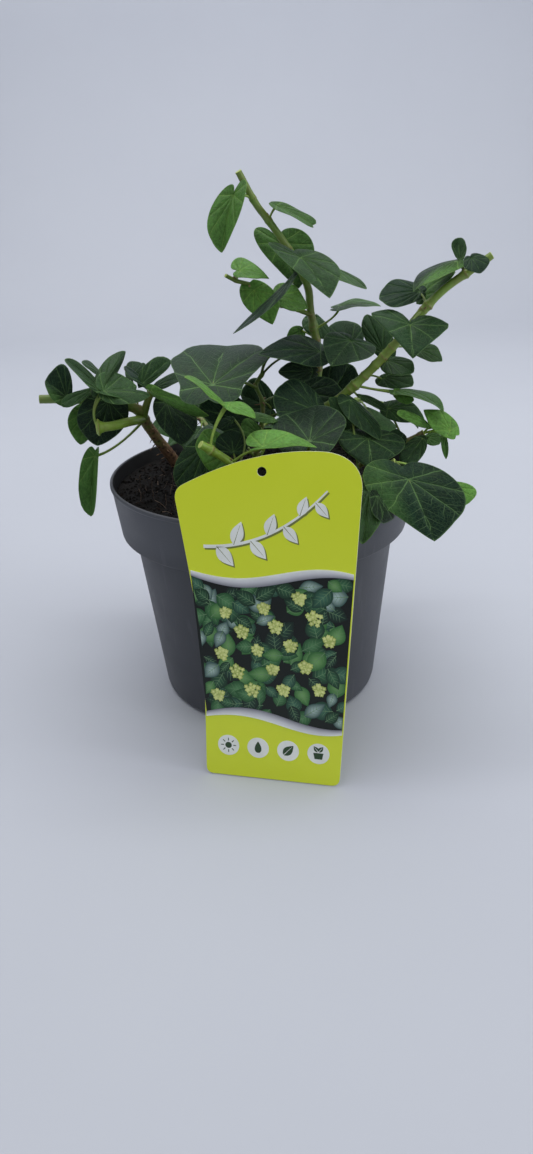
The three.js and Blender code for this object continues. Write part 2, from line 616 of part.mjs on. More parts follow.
const labelPlace = new THREE.Group();
labelPlace.position.set(...LABEL_FOOT, 0);
labelPlace.rotation.z = THREE.MathUtils.degToRad(LABEL_TURN);
const label = named("care_label", labelGeometry(), labelCard);
label.rotation.x = THREE.MathUtils.degToRad(90 - LABEL_LEAN);
labelPlace.add(label);
plant.add(labelPlace);

for (const [name, branches] of Object.entries(STEMS)) {
  plant.add(named(name, leafyStem(branches), ivyLeaf));
}

export default plant;
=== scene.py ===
"""Looks of a potted ivy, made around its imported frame.

The layout of the plant is in millimetres, in the frame's axes, and everything built from it is in metres.
"""
import math
import random

import bpy
import numpy as np
from mathutils import Matrix, Vector


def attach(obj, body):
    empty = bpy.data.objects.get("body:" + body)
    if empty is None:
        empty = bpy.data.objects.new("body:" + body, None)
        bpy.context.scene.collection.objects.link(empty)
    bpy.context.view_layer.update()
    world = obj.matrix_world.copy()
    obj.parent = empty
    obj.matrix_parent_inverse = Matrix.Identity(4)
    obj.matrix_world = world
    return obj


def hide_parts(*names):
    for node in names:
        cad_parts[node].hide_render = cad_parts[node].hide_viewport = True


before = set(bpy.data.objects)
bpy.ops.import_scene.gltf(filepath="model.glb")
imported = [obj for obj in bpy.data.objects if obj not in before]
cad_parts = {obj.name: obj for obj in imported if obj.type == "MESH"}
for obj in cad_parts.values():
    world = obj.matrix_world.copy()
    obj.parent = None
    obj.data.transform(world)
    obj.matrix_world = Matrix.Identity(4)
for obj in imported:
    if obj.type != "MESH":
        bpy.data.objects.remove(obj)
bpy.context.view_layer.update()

MM = 0.001
SEED = 11

# Photo and camera
PHOTO_HEIGHT = 1154
FOCAL_PIXELS = 867
SENSOR = 36
CAMERA_PLACE = (0, -468.7, 282.4)
CAMERA_DOWN = 25.15
CAMERA_ROLL = -2.53

# Pot and soil
POT_HEIGHT = 130
RIM_RADIUS = 85
COLLAR_RADIUS = 81
COLLAR_HEIGHT = 100
BODY_RADIUS = 74
BASE_RADIUS = 64
POT_WALL = 1.8
POT_FLOOR = 2.5
DRAIN_HOLES = 8
DRAIN_RADIUS = 5
DRAIN_CIRCLE = 48
POT_SIDES = 144
SOIL_SIDES = 120
# Soil grains, in metres
CRUMB_RADIUS = 0.001
FIBRE_REACH = 0.006
FIBRE_RADIUS = 0.00018
SOIL_LEVEL = 122.5
SOIL_GAP = 0.35

# Care label
LABEL_FOOT = (-34.4, -102.7)
LABEL_TURN = -13.57
LABEL_LEAN = 9.8
LABEL_THICKNESS = 0.6
LABEL_HOLE = (29, 158)
LABEL_HOLE_RADIUS = 2.2
CARD_BEVEL = 0.12
INK_HEIGHT = 0.03
INK_SINK = 0.05
INK_STEP = 0.0008
LAYER_STEP = 0.02
PANEL_MARGIN = 0.7
PANEL_SHARES = np.linspace(0, 1, 41)
PANEL_LEAVES = 150
PANEL_FLOWERS = 17
FLOWER_BLOOMS = 11

# Ivy
VEINS = (0, 34, 72, 114)
BLADE_THICKNESS = 0.42
BLADE_EDGE = 0.2
LARGE_BLADE = 22
LARGE_RINGS = (0.1, 0.22, 0.35, 0.48, 0.6, 0.71, 0.81, 0.89, 0.95, 0.985, 1)
SMALL_RINGS = (0.16, 0.36, 0.56, 0.75, 0.9, 1)
PILLOW = 0.026
VEIN_GROOVE = 0.2
FOLD_SOFTNESS = 0.05
STALK_RISE = 0.16
STEM_SIDES = 14
STEM_STEP = 0.7
UV_SPAN = 1.4
UV_ORIGIN = (0.7, 0.36)

# Outlines of the blades: how far the edge is from the stalk, as a share of the length from
# the stalk to the tip, at angles in degrees away from the tip
FORMS = {
    "heart": ((0, 1), (12, 0.84), (26, 0.7), (46, 0.6), (70, 0.535), (96, 0.49), (118, 0.44),
              (140, 0.36), (158, 0.25), (172, 0.1), (180, 0.05)),
    "closed": ((0, 1), (12, 0.84), (26, 0.72), (44, 0.65), (62, 0.59), (80, 0.53), (100, 0.475),
               (120, 0.43), (140, 0.385), (158, 0.335), (170, 0.26), (180, 0.22)),
    "shield": ((0, 1), (12, 0.84), (26, 0.72), (44, 0.655), (60, 0.62), (76, 0.565), (98, 0.49),
               (120, 0.45), (143, 0.41), (162, 0.3), (173, 0.12), (180, 0.06)),
    "lobed": ((0, 1), (12, 0.82), (26, 0.71), (42, 0.66), (56, 0.655), (68, 0.68), (78, 0.66),
              (92, 0.54), (110, 0.45), (135, 0.39), (158, 0.28), (172, 0.12), (180, 0.06)),
    "blunt": ((0, 1), (9, 0.975), (18, 0.92), (28, 0.83), (44, 0.69), (64, 0.56), (84, 0.5), (104, 0.46),
              (124, 0.41), (144, 0.34), (160, 0.22), (172, 0.1), (180, 0.05)),
    "broad": ((0, 1), (12, 1.02), (25, 0.95), (38, 0.79), (52, 0.71), (66, 0.53), (84, 0.41), (104, 0.36),
              (130, 0.41), (150, 0.38), (168, 0.31), (180, 0.25)),
    "strap": ((0, 1), (8, 0.98), (16, 0.92), (25, 0.78), (45, 0.5), (75, 0.33), (105, 0.25),
              (135, 0.19), (160, 0.13), (180, 0.1)),
    "oval": ((0, 1), (12, 0.8), (26, 0.61), (45, 0.43), (75, 0.3), (105, 0.235), (135, 0.18),
             (160, 0.12), (180, 0.1)),
}

# Leafy stems. A branch has a route with its radius at both ends, and how woody it is at both ends.
# Its leaves are rows of: place along the route, stalk end, tip, left and right shoulder seen from
# above, form, arch, youth from 0 for an old leaf to 1 for a young one, with values down to -1 as
# painted shade on a leaf that lies in shade, or the youth of its left and its right half, which
# paints one half lighter and the other darker as light and shade fall on it, and for a bent stalk
# the point that it passes.
STEMS = {
    "left_ivy_stem": [{
        "route": ((-48, 40, 104), (-51, 36, 122), (-60, 20, 145), (-64, 10, 157), (-66, 4, 165),
                  (-76, -2, 171), (-88, -5, 174), (-100, -8, 176), (-116, -10, 177)),
        "radii": (3.6, 2.3), "wood": (1, 0),
        "leaves": (
            (7.2, (-101, -13, 178), (-111, -14, 187), (-106, -19, 177), (-100, -9, 194), "heart", 0.06,
             (0.3, -0.3)),
            (6.4, (-87, -14, 182), (-103, -20, 176), (-94, -21, 176), (-96, -15, 181), "oval", 0.04, 0.15),
            (5.6, (-84, -4, 188), (-92, -6, 195), (-88, -10, 191), (-88, 2, 192), "oval", 0.03, 0.1),
            (4, (-69, 8, 182), (-64, 18, 188), (-72, 16, 188), (-62, 13, 186), "heart", 0.04, 0.05),
            (5.4, (-80, -9, 174), (-89, -9, 150), (-71, -7, 164), (-97, -11, 169), "heart", 0.05, -0.5),
            (6.2, (-94, -4, 168), (-98, -9, 151), (-91, -5, 159), (-103, -9, 165), "heart", 0.05, 0.6),
            (3.2, (-90, -15, 146), (-95, -22, 114), (-88, -29, 135), (-99, -22, 134), "strap", 0.03, 0.4,
             (-78, -8, 147)),
        ),
    }, {
        "route": ((-65, 5, 160), (-71, -12, 163), (-78, -18, 163), (-86, -20, 163)),
        "radii": (2.4, 2.5), "wood": (0.3, 0), "fresh": 0.85,
        "leaves": (
            (2.9, (-81, -20, 182), (-99, -14, 198), (-90, -26, 190), (-88, -14, 192), "oval", 0.04, 0.1,
             (-89, -22, 172)),
            (2.9, (-81, -19, 183), (-71, 8, 197), (-84, -6, 190), (-75, -2, 187), "heart", 0.05, 0.15,
             (-89, -22, 172)),
            (2.9, (-80, -20, 182), (-64, -10, 182), (-78, -8, 190), (-70, -22, 179), "heart", -0.06, 0.15,
             (-89, -22, 172)),
            (2.9, (-80, -21, 182), (-57, -14, 177), (-70, -12, 180), (-72, -25, 175), "oval", 0.05, 0.15,
             (-89, -22, 172)),
        ),
    }, {
        "route": ((-65, 6, 160), (-60, 2, 172), (-57, 0, 178)),
        "radii": (2.4, 1.6), "wood": (0.3, 0),
        "leaves": (
            (1.8, (-63, 0, 180), (-47, 8, 191), (-60, 6, 190), (-52, 2, 184), "oval", 0.05, 0.1),
            (1.8, (-58, 4, 177), (-72, 6, 189), (-66, -4, 183), (-64, 8, 183), "oval", 0.03, 0.0),
            (1.8, (-57, -10, 179), (-26, -24, 168), (-43, -20, 180), (-48, -6, 171), "oval", 0.05, 0.85),
            (1.3, (-50, 0, 170), (-43, -12, 149), (-34, -7, 163), (-57, -4, 164), "heart", 0.05, -0.6),
            (1.8, (-58, 8, 176), (-41, 14, 181), (-51, 15, 181), (-48, 7, 177), "oval", 0.03, 0.05),
        ),
    }],
    "tall_ivy_stem": [{
        "route": ((24, 24, 104), (27, 23, 122), (33, 22, 165), (34, 21, 191), (32, 20, 202), (30, 17, 214),
                  (29, 14, 224), (23, 10, 238), (16, 8, 249), (9, 5, 259), (3, 3, 267), (-5, 0, 282)),
        "radii": (2.7, 1.7), "wood": (0.5, 0), "fresh": 0.4,
        "leaves": (
            (10.2, (-8, -4, 272), (-15, -12, 246), (-3, -15, 270), (-21, -9, 264), "heart", 0.04, 0.58),
            (9, (13, 2, 266), (31, 3, 256), (24, 9, 264), (20, -6, 261), "blunt", 0.02, 0.45),
            (7.6, (15, 20, 247), (24, 17, 224), (32, 18, 247), (2, 18, 249), "heart", 0.05, 0.45),
            (7.2, (24, -8, 242), (37, -26, 224), (42, -10, 238), (10, -12, 246), "closed", 0.05, 0.14),
            (6.4, (39, 8, 236), (59, 4, 224), (49, 14, 232), (44, -6, 230), "heart", 0.04, 0.3),
            (4, (45, 10, 215), (67, 8, 214), (53, 22, 216), (50, -2, 215), "heart", 0.06, 0.35,
             (44, 20, 207)),
            (4.2, (34, 32, 207), (37, 22, 196), (41, 26, 201), (26, 26, 203), "heart", 0.05, 0.1),
            (3.4, (26, 30, 200), (17, 22, 198), (25, 26, 195), (21, 26, 203), "heart", 0.04, 0.8),
            (1.8, (39, 31, 158), (53, 30, 180), (34, 32, 174), (56, 30, 166), "heart", 0.04, -0.4),
            (2.6, (50, -2, 199), (38, -18, 189), (61, -14, 194), (37, 0, 202), "heart", 0.06, 0.05),
            (2.5, (52, 20, 192), (48, 32, 204), (40, 24, 198), (60, 26, 199), "heart", 0.03, 0.05),
        ),
    }, {
        "route": ((31, 17, 210), (19, 14, 215), (11, 10, 218), (-1, 6, 228), (-9, 3, 231), (-14, 0, 234)),
        "radii": (1.3, 1), "wood": (0.3, 0),
        "leaves": (
            (4, (-7, 2, 236), (8, -6, 232), (-6, 12, 241), (-3, -9, 233), "heart", 0.08, 0.95),
            (3, (0, 3, 226), (9, -3, 209), (12, 0, 223), (-6, 1, 220), "closed", 0.04, 1),
            (1.6, (13, 8, 222), (28, 2, 216), (19, 16, 227), (17, -3, 216), "heart", 0.04, 0.9),
            (2, (19, -12, 232), (-11, -22, 208), (12, -24, 225), (11, -8, 227), "oval", -0.01, -0.2),
        ),
    }],
    "right_ivy_stem": [{
        "route": ((27, 6, 104), (29, 4, 121), (33, -3, 160), (44, -10, 171), (56, -12, 182), (70, -15, 197),
                  (85, -17, 215), (95, -18, 225), (105, -19, 232), (117, -20, 240)),
        "radii": (2.8, 1.9), "wood": (0.32, 0), "fresh": 0.62,
        "leaves": (
            (6, (77, -26, 210), (76, -42, 196), (95, -31, 210), (58, -23, 216), "lobed", 0.05, 0.08),
            (6.2, (85, -8, 223), (63, -14, 222), (71, -20, 218), (75, -3, 229), "heart", 0.04, 0.0),
            (6.2, (85, -4, 220), (102, -9, 232), (92, 3, 229), (89, -12, 219), "oval", 0.04, 0.5),
            (8, (101, -16, 238), (78, -28, 225), (91, -30, 232), (91, -6, 235), "heart", 0.09,
             (0.65, -0.15)),
            (8, (103, -14, 238), (103, -10, 248), (99, -13, 244), (107, -11, 244), "oval", -0.1, 0.1),
            (8.3, (106, -24, 240), (110, -29, 233), (115, -22, 239), (102, -30, 236), "heart", 0.04, -0.1),
            (5, (85, -10, 194), (96, -16, 189), (92, -7, 196), (87, -18, 190), "heart", 0.05, 0.2),
            (4.4, (69, -4, 188), (82, -12, 183), (79, -4, 189), (69, -16, 183), "heart", 0.05, 0.15),
            (4, (67, -4, 179), (82, -10, 175), (79, -3, 181), (68, -12, 175), "heart", 0.05, 0.15),
            (4.7, (69, 10, 190), (62, 24, 208), (59, 16, 198), (75, 12, 196), "heart", 0.05, 0.1),
            (3.6, (71, -20, 176), (94, -34, 166), (85, -14, 172), (78, -34, 173), "oval", 0.12, 0.4,
             (62, -15, 175)),
            (3.6, (72, -20, 176), (77, -24, 169), (80, -22, 173), (70, -22, 173), "oval", 0.05, 0.9,
             (62, -15, 175)),
            (3.4, (53, -16, 173), (67, -20, 165), (61, -16, 171), (59, -21, 168), "oval", 0.05, 0.1),
            (2.3, (48, -24, 157), (37, -18, 173), (40, -23, 162), (50, -18, 167), "heart", 0.03, 0.1),
        ),
    }],
    "low_right_ivy_stem": [{
        "route": ((44, -4, 104), (46, -5, 122), (58, -12, 136), (74, -18, 146), (87, -20, 152)),
        "radii": (1.7, 1.3), "wood": (0.5, 0.5),
        "leaves": (
            (3.2, (69, -10, 164), (88, -16, 158), (78, -7, 167), (74, -18, 158), "heart", 0.08, 0.15),
            (4, (89, -30, 158), (70, -36, 168), (77, -35, 162), (79, -31, 166), "oval", 0.03, 0.95),
            (4, (98, -34, 157), (85, -28, 167), (89, -36, 158), (99, -27, 163), "closed", 0.03, 0.95),
            (4, (96, -28, 154), (97, -32, 141), (98, -30, 149), (94, -30, 150), "oval", 0.05, 0.5),
            (3.8, (89, -18, 149), (96, -20, 146), (95, -16, 151), (90, -22, 146), "heart", 0.05, 0.35),
            (3.8, (86, -24, 151), (74, -34, 139), (85, -31, 143), (75, -28, 148), "oval", 0.05, 0.1),
        ),
    }],
    "front_right_ivy_stem": [{
        "route": ((38, -36, 104), (40, -38, 122), (50, -42, 134), (60, -43, 141), (68, -45, 145)),
        "radii": (1.9, 1.4), "wood": (0.5, 0.3),
        "leaves": (
            (2.4, (56, -31, 154), (56, -44, 141), (75, -33, 151), (40, -36, 155), "closed", 0.05, 0.06),
            (2.2, (72, -27, 147), (72, -23, 156), (66, -26, 153), (77, -25, 151), "shield", 0.04, 0.05),
            (2, (48, -20, 172), (62, -32, 153), (59, -24, 164), (45, -28, 165), "heart", 0.05, 0.05),
            (4, (73, -58, 140), (84, -73, 112), (100, -62, 133), (51, -60, 138), "closed", 0.06,
             (-0.5, 0.22)),
            (4, (97, -38, 128), (105, -42, 118), (112, -37, 126), (96, -42, 123), "heart", 0.04, 0.95),
            (2.4, (56, -66, 135), (58, -76, 124), (65, -64, 125), (52, -78, 132), "closed", 0.04, -1),
            (2.4, (54, -56, 138), (47, -84, 117), (59, -70, 129), (43, -72, 130), "heart", 0.08, 0.15),
        ),
    }],
    "front_ivy_stem": [{
        "route": ((-4, -40, 104), (-6, -43, 122), (-11, -51, 141), (-15, -55, 151), (-24, -58, 159),
                  (-29, -60, 163)),
        "radii": (2, 2.1), "wood": (0.5, 0.0), "fresh": 0.8,
        "leaves": (
            (4.1, (-15, -52, 180), (-2, -57, 174), (-8, -46, 179), (-10, -60, 177), "heart", 0.06, 0.9,
             (-24, -57, 169)),
            (4.1, (-16, -52, 180), (-35, -50, 194), (-26, -57, 187), (-26, -44, 187), "oval", 0.05, 0.95,
             (-24, -57, 169)),
            (3, (1, -68, 163), (27, -66, 161), (2, -57, 168), (7, -72, 163), "heart", 0.04, 0.9),
            (1.6, (8, -44, 169), (-4, -46, 172), (1, -48, 169), (1, -40, 172), "oval", 0.03, 0.3,
             (3, -50, 158)),
            (2.6, (-13, -46, 171), (-21, -44, 168), (-17, -46, 167), (-16, -44, 172), "oval", 0.03, -0.3,
             (-3, -48, 160)),
            (2.2, (-18, -38, 150), (-33, -46, 158), (-24, -45, 143), (-24, -40, 165), "heart", 0.03, 0.7),
            (2.4, (-14, -42, 153), (-15, -36, 163), (-23, -41, 158), (-6, -41, 158), "heart", 0.03, -0.2),
            (1.6, (24, -56, 161), (30, -24, 171), (6, -47, 166), (43, -46, 166), "shield", 0.05, -0.45,
             (8, -58, 142)),
        ),
    }],
    "middle_ivy_stem": [{
        "route": ((-6, 6, 104), (-6, 5, 122), (0, 2, 150), (2, 2, 167), (-1, 6, 176), (3, 7, 182)),
        "radii": (1.9, 1), "wood": (0.6, 0.3),
        "leaves": (
            (3.8, (-23, -30, 185), (-16, 12, 196), (-45, -9, 193), (6, -11, 192), "broad", 0.05, 0.04),
            (2, (1, -44, 161), (-9, -38, 167), (-7, -43, 161), (-3, -39, 168), "heart", 0.03, 0.5),
            (2.4, (31, -20, 166), (8, -16, 175), (15, -30, 163), (23, -8, 180), "heart", 0.03, -0.4),
            (2.1, (-5, -13, 159), (-32, -12, 169), (-18, -19, 157), (-16, -7, 176), "heart", 0.03, -0.3),
            (3, (23, 12, 169), (48, 10, 165), (36, 15, 177), (35, 4, 159), "heart", 0.03, -0.5),
            (1.5, (-29, -30, 153), (-40, -36, 127), (-21, -34, 142), (-45, -31, 145), "heart", 0.04, 0.05),
            (3, (7, 12, 161), (-10, 14, 169), (-1, 8, 157), (1, 16, 177), "heart", 0.04, 0.05),
            (1.5, (-14, 16, 144), (-37, 30, 143), (-32, 12, 138), (-22, 35, 147), "heart", 0.04, 0.1),
            (1.4, (8, 20, 141), (16, 44, 133), (-2, 35, 139), (24, 29, 136), "heart", 0.05, 0.05),
            (4.8, (30, 0, 183), (11, -6, 185), (21, -7, 180), (22, 0, 189), "heart", 0.03, -0.6,
             (19, 2, 201)),
            (4.8, (34, 2, 193), (1, -16, 197), (24, -15, 190), (26, 12, 200), "heart", 0.05, -0.2,
             (5, 6, 201)),
        ),
    }],
    "rear_left_ivy_stem": [{
        "route": ((-22, 44, 104), (-24, 46, 122), (-32, 58, 138), (-42, 70, 147), (-53, 81, 149),
                  (-64, 92, 145)),
        "radii": (2.1, 1.3), "wood": (0.6, 0.1),
        "leaves": (
            (5, (-56, 97, 140), (-61, 114, 118), (-72, 103, 130), (-45, 108, 131), "heart", 0.06, 0.3),
            (4, (-47, 84, 146), (-64, 96, 127), (-62, 80, 137), (-49, 100, 133), "heart", 0.06, 0.15),
            (4, (-38, 92, 148), (-36, 112, 126), (-51, 100, 139), (-22, 101, 138), "shield", 0.06, 0.1),
            (3, (-18, 74, 146), (-4, 92, 132), (-18, 88, 141), (-2, 74, 139), "heart", 0.06, 0.05),
            (3, (-42, 56, 140), (-57, 50, 131), (-51, 44, 134), (-52, 62, 138), "heart", 0.04, 0.2),
            (2.4, (-36, 50, 140), (-43, 34, 130), (-32, 38, 133), (-48, 46, 138), "heart", 0.04, 0.1),
        ),
    }, {
        "route": ((-25, 48, 125.5), (-17, 54, 131), (-8, 63, 135), (2, 72, 135)),
        "radii": (1.5, 1.1), "wood": (0.5, 0.1),
        "leaves": (
            (3, (5, 79, 135), (9, 101, 119), (-3, 91, 128), (21, 90, 127), "heart", 0.06, 0.5),
            (1.7, (2, 54, 134), (20, 50, 126), (12, 61, 131), (9, 43, 130), "heart", 0.04, 0.1),
        ),
    }],
    "rear_right_ivy_stem": [{
        "route": ((34, 44, 104), (37, 46, 122), (45, 57, 137), (54, 68, 145), (62, 79, 147), (67, 92, 143)),
        "radii": (2.2, 1.3), "wood": (0.6, 0.1),
        "leaves": (
            (5, (47, 98, 135), (43, 114, 116), (31, 104, 128), (59, 108, 125), "heart", 0.06, 0.3),
            (4, (85, 76, 144), (103, 84, 125), (91, 92, 133), (98, 67, 136), "lobed", 0.06, 0.1),
            (4, (72, 96, 137), (84, 108, 116), (64, 108, 127), (90, 96, 125), "heart", 0.06, 0.2),
            (3, (26, 70, 146), (14, 88, 136), (12, 70, 141), (27, 86, 140), "heart", 0.06, 0.1),
            (3, (55, 62, 140), (69, 70, 122), (58, 74, 126), (69, 54, 136), "shield", 0.04, 0.3),
            (2.4, (54, 44, 137), (68, 30, 127), (68, 42, 134), (52, 30, 130), "heart", 0.04, 0.1),
            (1.7, (28, 58, 134), (22, 74, 128), (16, 64, 131), (33, 70, 131), "heart", 0.04, 0.2),
        ),
    }],
}

# Node trees


class Nodes:
    """Short forms for making nodes and joining them."""

    def __init__(self, tree):
        self.tree = tree

    def add(self, kind, inputs=None, **settings):
        node = self.tree.nodes.new(kind)
        for name, value in settings.items():
            setattr(node, name, value)
        for socket, value in (inputs or {}).items():
            self.feed(node.inputs[socket], value)
        return node

    def feed(self, socket, value):
        if isinstance(value, bpy.types.NodeSocket):
            self.tree.links.new(value, socket)
        else:
            socket.default_value = value

    def math(self, operation, *values):
        node = self.add("ShaderNodeMath", operation=operation)
        for socket, value in zip(node.inputs, values):
            self.feed(socket, value)
        return node.outputs[0]

    def times(self, first, second):
        return self.math("MULTIPLY", first, second)

    def plus(self, first, second):
        return self.math("ADD", first, second)

    def minus(self, first, second):
        return self.math("SUBTRACT", first, second)

    def larger(self, first, second):
        return self.math("MAXIMUM", first, second)

    def scaled(self, value, factor, shift):
        return self.math("MULTIPLY_ADD", value, factor, shift)

    def ramp(self, value, low, high, start=0.0, end=1.0):
        """Maps a value smoothly from the range low to high onto start to end."""
        node = self.add("ShaderNodeMapRange", interpolation_type="SMOOTHSTEP")
        labels = ("Value", "From Min", "From Max", "To Min", "To Max")
        for label, given in zip(labels, (value, low, high, start, end)):
            self.feed(node.inputs[label], given)
        return node.outputs["Result"]

    def blend(self, factor, first, second, mode="MIX"):
        node = self.add("ShaderNodeMix", data_type="RGBA", blend_type=mode)
        self.feed(node.inputs["Factor"], factor)
        self.feed(node.inputs["A"], first)
        self.feed(node.inputs["B"], second)
        return next(output for output in node.outputs if output.type == "RGBA")

    def noise(self, place, scale, detail=4.0, roughness=0.5):
        inputs = {"Vector": place, "Scale": scale, "Detail": detail, "Roughness": roughness}
        return self.add("ShaderNodeTexNoise", inputs).outputs["Fac"]

    def cells(self, place, scale, feature):
        node = self.add("ShaderNodeTexVoronoi", {"Vector": place, "Scale": scale}, feature=feature)
        return node.outputs["Distance"]

    def grey(self, value):
        return self.add("ShaderNodeCombineColor", {0: value, 1: value, 2: value}).outputs[0]

    def attribute(self, name, output="Fac"):
        return self.add("ShaderNodeAttribute", attribute_name=name).outputs[output]

    def group(self, tree, inputs):
        node = self.add("ShaderNodeGroup", node_tree=tree)
        for name, value in inputs.items():
            self.feed(node.inputs[name], value)
        return node.outputs


def node_group(name, kind, inputs, outputs):
    """An empty node group with named inputs and outputs: the group, its nodes and both rows of sockets."""
    tree = bpy.data.node_groups.new(name, kind)
    for label, socket_kind, value in inputs:
        socket = tree.interface.new_socket(label, in_out="INPUT", socket_type=socket_kind)
        if value is not None:
            socket.default_value = value
    for label, socket_kind in outputs:
        tree.interface.new_socket(label, in_out="OUTPUT", socket_type=socket_kind)
    nodes = Nodes(tree)
    entry = nodes.add("NodeGroupInput")
    leave = nodes.add("NodeGroupOutput")
    return tree, nodes, entry.outputs, leave.inputs


def finished_material(name, roughness=0.5, **settings):
    """A material with one Principled shader, whose plain values are set on its own sockets."""
    material = bpy.data.materials.new(name)
    material.use_nodes = True
    nodes = Nodes(material.node_tree)
    shader = material.node_tree.nodes["Principled BSDF"]
    shader.inputs["Roughness"].default_value = roughness
    for label, value in settings.items():
        shader.inputs[label.replace("_", " ").title().replace("Ior", "IOR")].default_value = value
    return material, nodes, shader.inputs


def colour(red, green, blue):
    """A colour given in the eight-bit values that a screen shows."""
    parts = []
    for value in (red, green, blue):
        share = value / 255
        parts.append(share / 12.92 if share <= 0.04045 else ((share + 0.055) / 1.055) ** 2.4)
    return (*parts, 1.0)


# Shared shader effects


def grain_group():
    """Fine grain and broad blotches on any surface, in the object's own coordinates."""
    tree, nodes, given, result = node_group(
        "fine_grain",
        "ShaderNodeTree",
        [("Place", "NodeSocketVector", None), ("Fine", "NodeSocketFloat", 900.0),
         ("Broad", "NodeSocketFloat", 30.0)],
        [("Grain", "NodeSocketFloat"), ("Blotch", "NodeSocketFloat")],
    )
    nodes.feed(result["Grain"], nodes.noise(given["Place"], given["Fine"], 3))
    nodes.feed(result["Blotch"], nodes.ramp(nodes.noise(given["Place"], given["Broad"], 5, 0.6), 0.3, 0.7))
    return tree


def vein_group():
    """The palmate veins of an ivy leaf, in the leaf's own flat coordinates."""
    tree, nodes, given, result = node_group(
        "ivy_veins",
        "ShaderNodeTree",
        [("Leaf", "NodeSocketVector", None), ("Chance", "NodeSocketFloat", 0.0),
         ("Width", "NodeSocketFloat", 0.009)],
        [("Main", "NodeSocketFloat"), ("Side", "NodeSocketFloat"), ("Net", "NodeSocketFloat"),
         ("Near", "NodeSocketFloat")],
    )
    shift = nodes.add("ShaderNodeCombineXYZ", {"X": given["Chance"], "Y": given["Chance"]}).outputs[0]
    moved = nodes.add("ShaderNodeVectorMath", operation="MULTIPLY_ADD")
    nodes.feed(moved.inputs[0], shift)
    moved.inputs[1].default_value = (9, 5, 0)
    nodes.feed(moved.inputs[2], given["Leaf"])
    wander = nodes.minus(nodes.noise(moved.outputs[0], 4.5, 2), 0.5)
    split = nodes.add("ShaderNodeSeparateXYZ", {"Vector": given["Leaf"]}).outputs
    across = nodes.math("ABSOLUTE", nodes.minus(nodes.times(split[0], UV_SPAN), UV_ORIGIN[0]))
    forward = nodes.minus(nodes.times(split[1], UV_SPAN), UV_ORIGIN[1])
    angle = nodes.math("ARCTAN2", across, forward)
    angle = nodes.plus(angle, nodes.times(wander, 0.16))
    squares = [nodes.math("POWER", part, 2.0) for part in (across, forward)]
    radius = nodes.math("SQRT", nodes.plus(*squares))
    nearest = 0.0
    for before, after in zip(VEINS, VEINS[1:]):
        past = nodes.math("GREATER_THAN", angle, math.radians((before + after) / 2))
        nearest = nodes.scaled(past, math.radians(after - before), nearest)
    turn = nodes.minus(angle, nearest)
    along = nodes.times(radius, nodes.math("COSINE", turn))
    aside = nodes.math("ABSOLUTE", nodes.times(radius, nodes.math("SINE", turn)))
    width = nodes.times(given["Width"], nodes.ramp(along, 0.0, 0.85, 1.0, 0.3))
    nodes.feed(result["Main"], nodes.ramp(nodes.math("DIVIDE", aside, width), 0.35, 1.3, 1.0, 0.0))
    nodes.feed(result["Near"], nodes.ramp(nodes.math("DIVIDE", aside, width), 1.0, 9.0, 1.0, 0.0))
    branch = nodes.minus(along, nodes.times(aside, 0.85))
    branch = nodes.scaled(wander, 0.14, branch)
    ladder = nodes.math("FRACT", nodes.times(branch, 7.5))
    rung = nodes.math("ABSOLUTE", nodes.minus(ladder, 0.5))
    side = nodes.ramp(rung, 0.0, 0.075, 1.0, 0.0)
    side = nodes.times(side, nodes.ramp(aside, 0.02, 0.2, 1.0, 0.35))
    nodes.feed(result["Side"], side)
    cells = nodes.cells(moved.outputs[0], 34.0, "DISTANCE_TO_EDGE")
    nodes.feed(result["Net"], nodes.ramp(cells, 0.0, 0.1, 1.0, 0.0))
    return tree


GRAIN = grain_group()
LEAF_VEINS = vein_group()


def object_place(nodes):
    return nodes.add("ShaderNodeTexCoord").outputs["Object"]


def bump(nodes, shader, height, distance):
    node = nodes.add("ShaderNodeBump", {"Height": height, "Distance": distance, "Strength": 1.0})
    nodes.feed(shader["Normal"], node.outputs[0])


def paint(nodes, shader, base, roughness):
    nodes.feed(shader["Base Color"], base)
    nodes.feed(shader["Roughness"], roughness)


# Materials


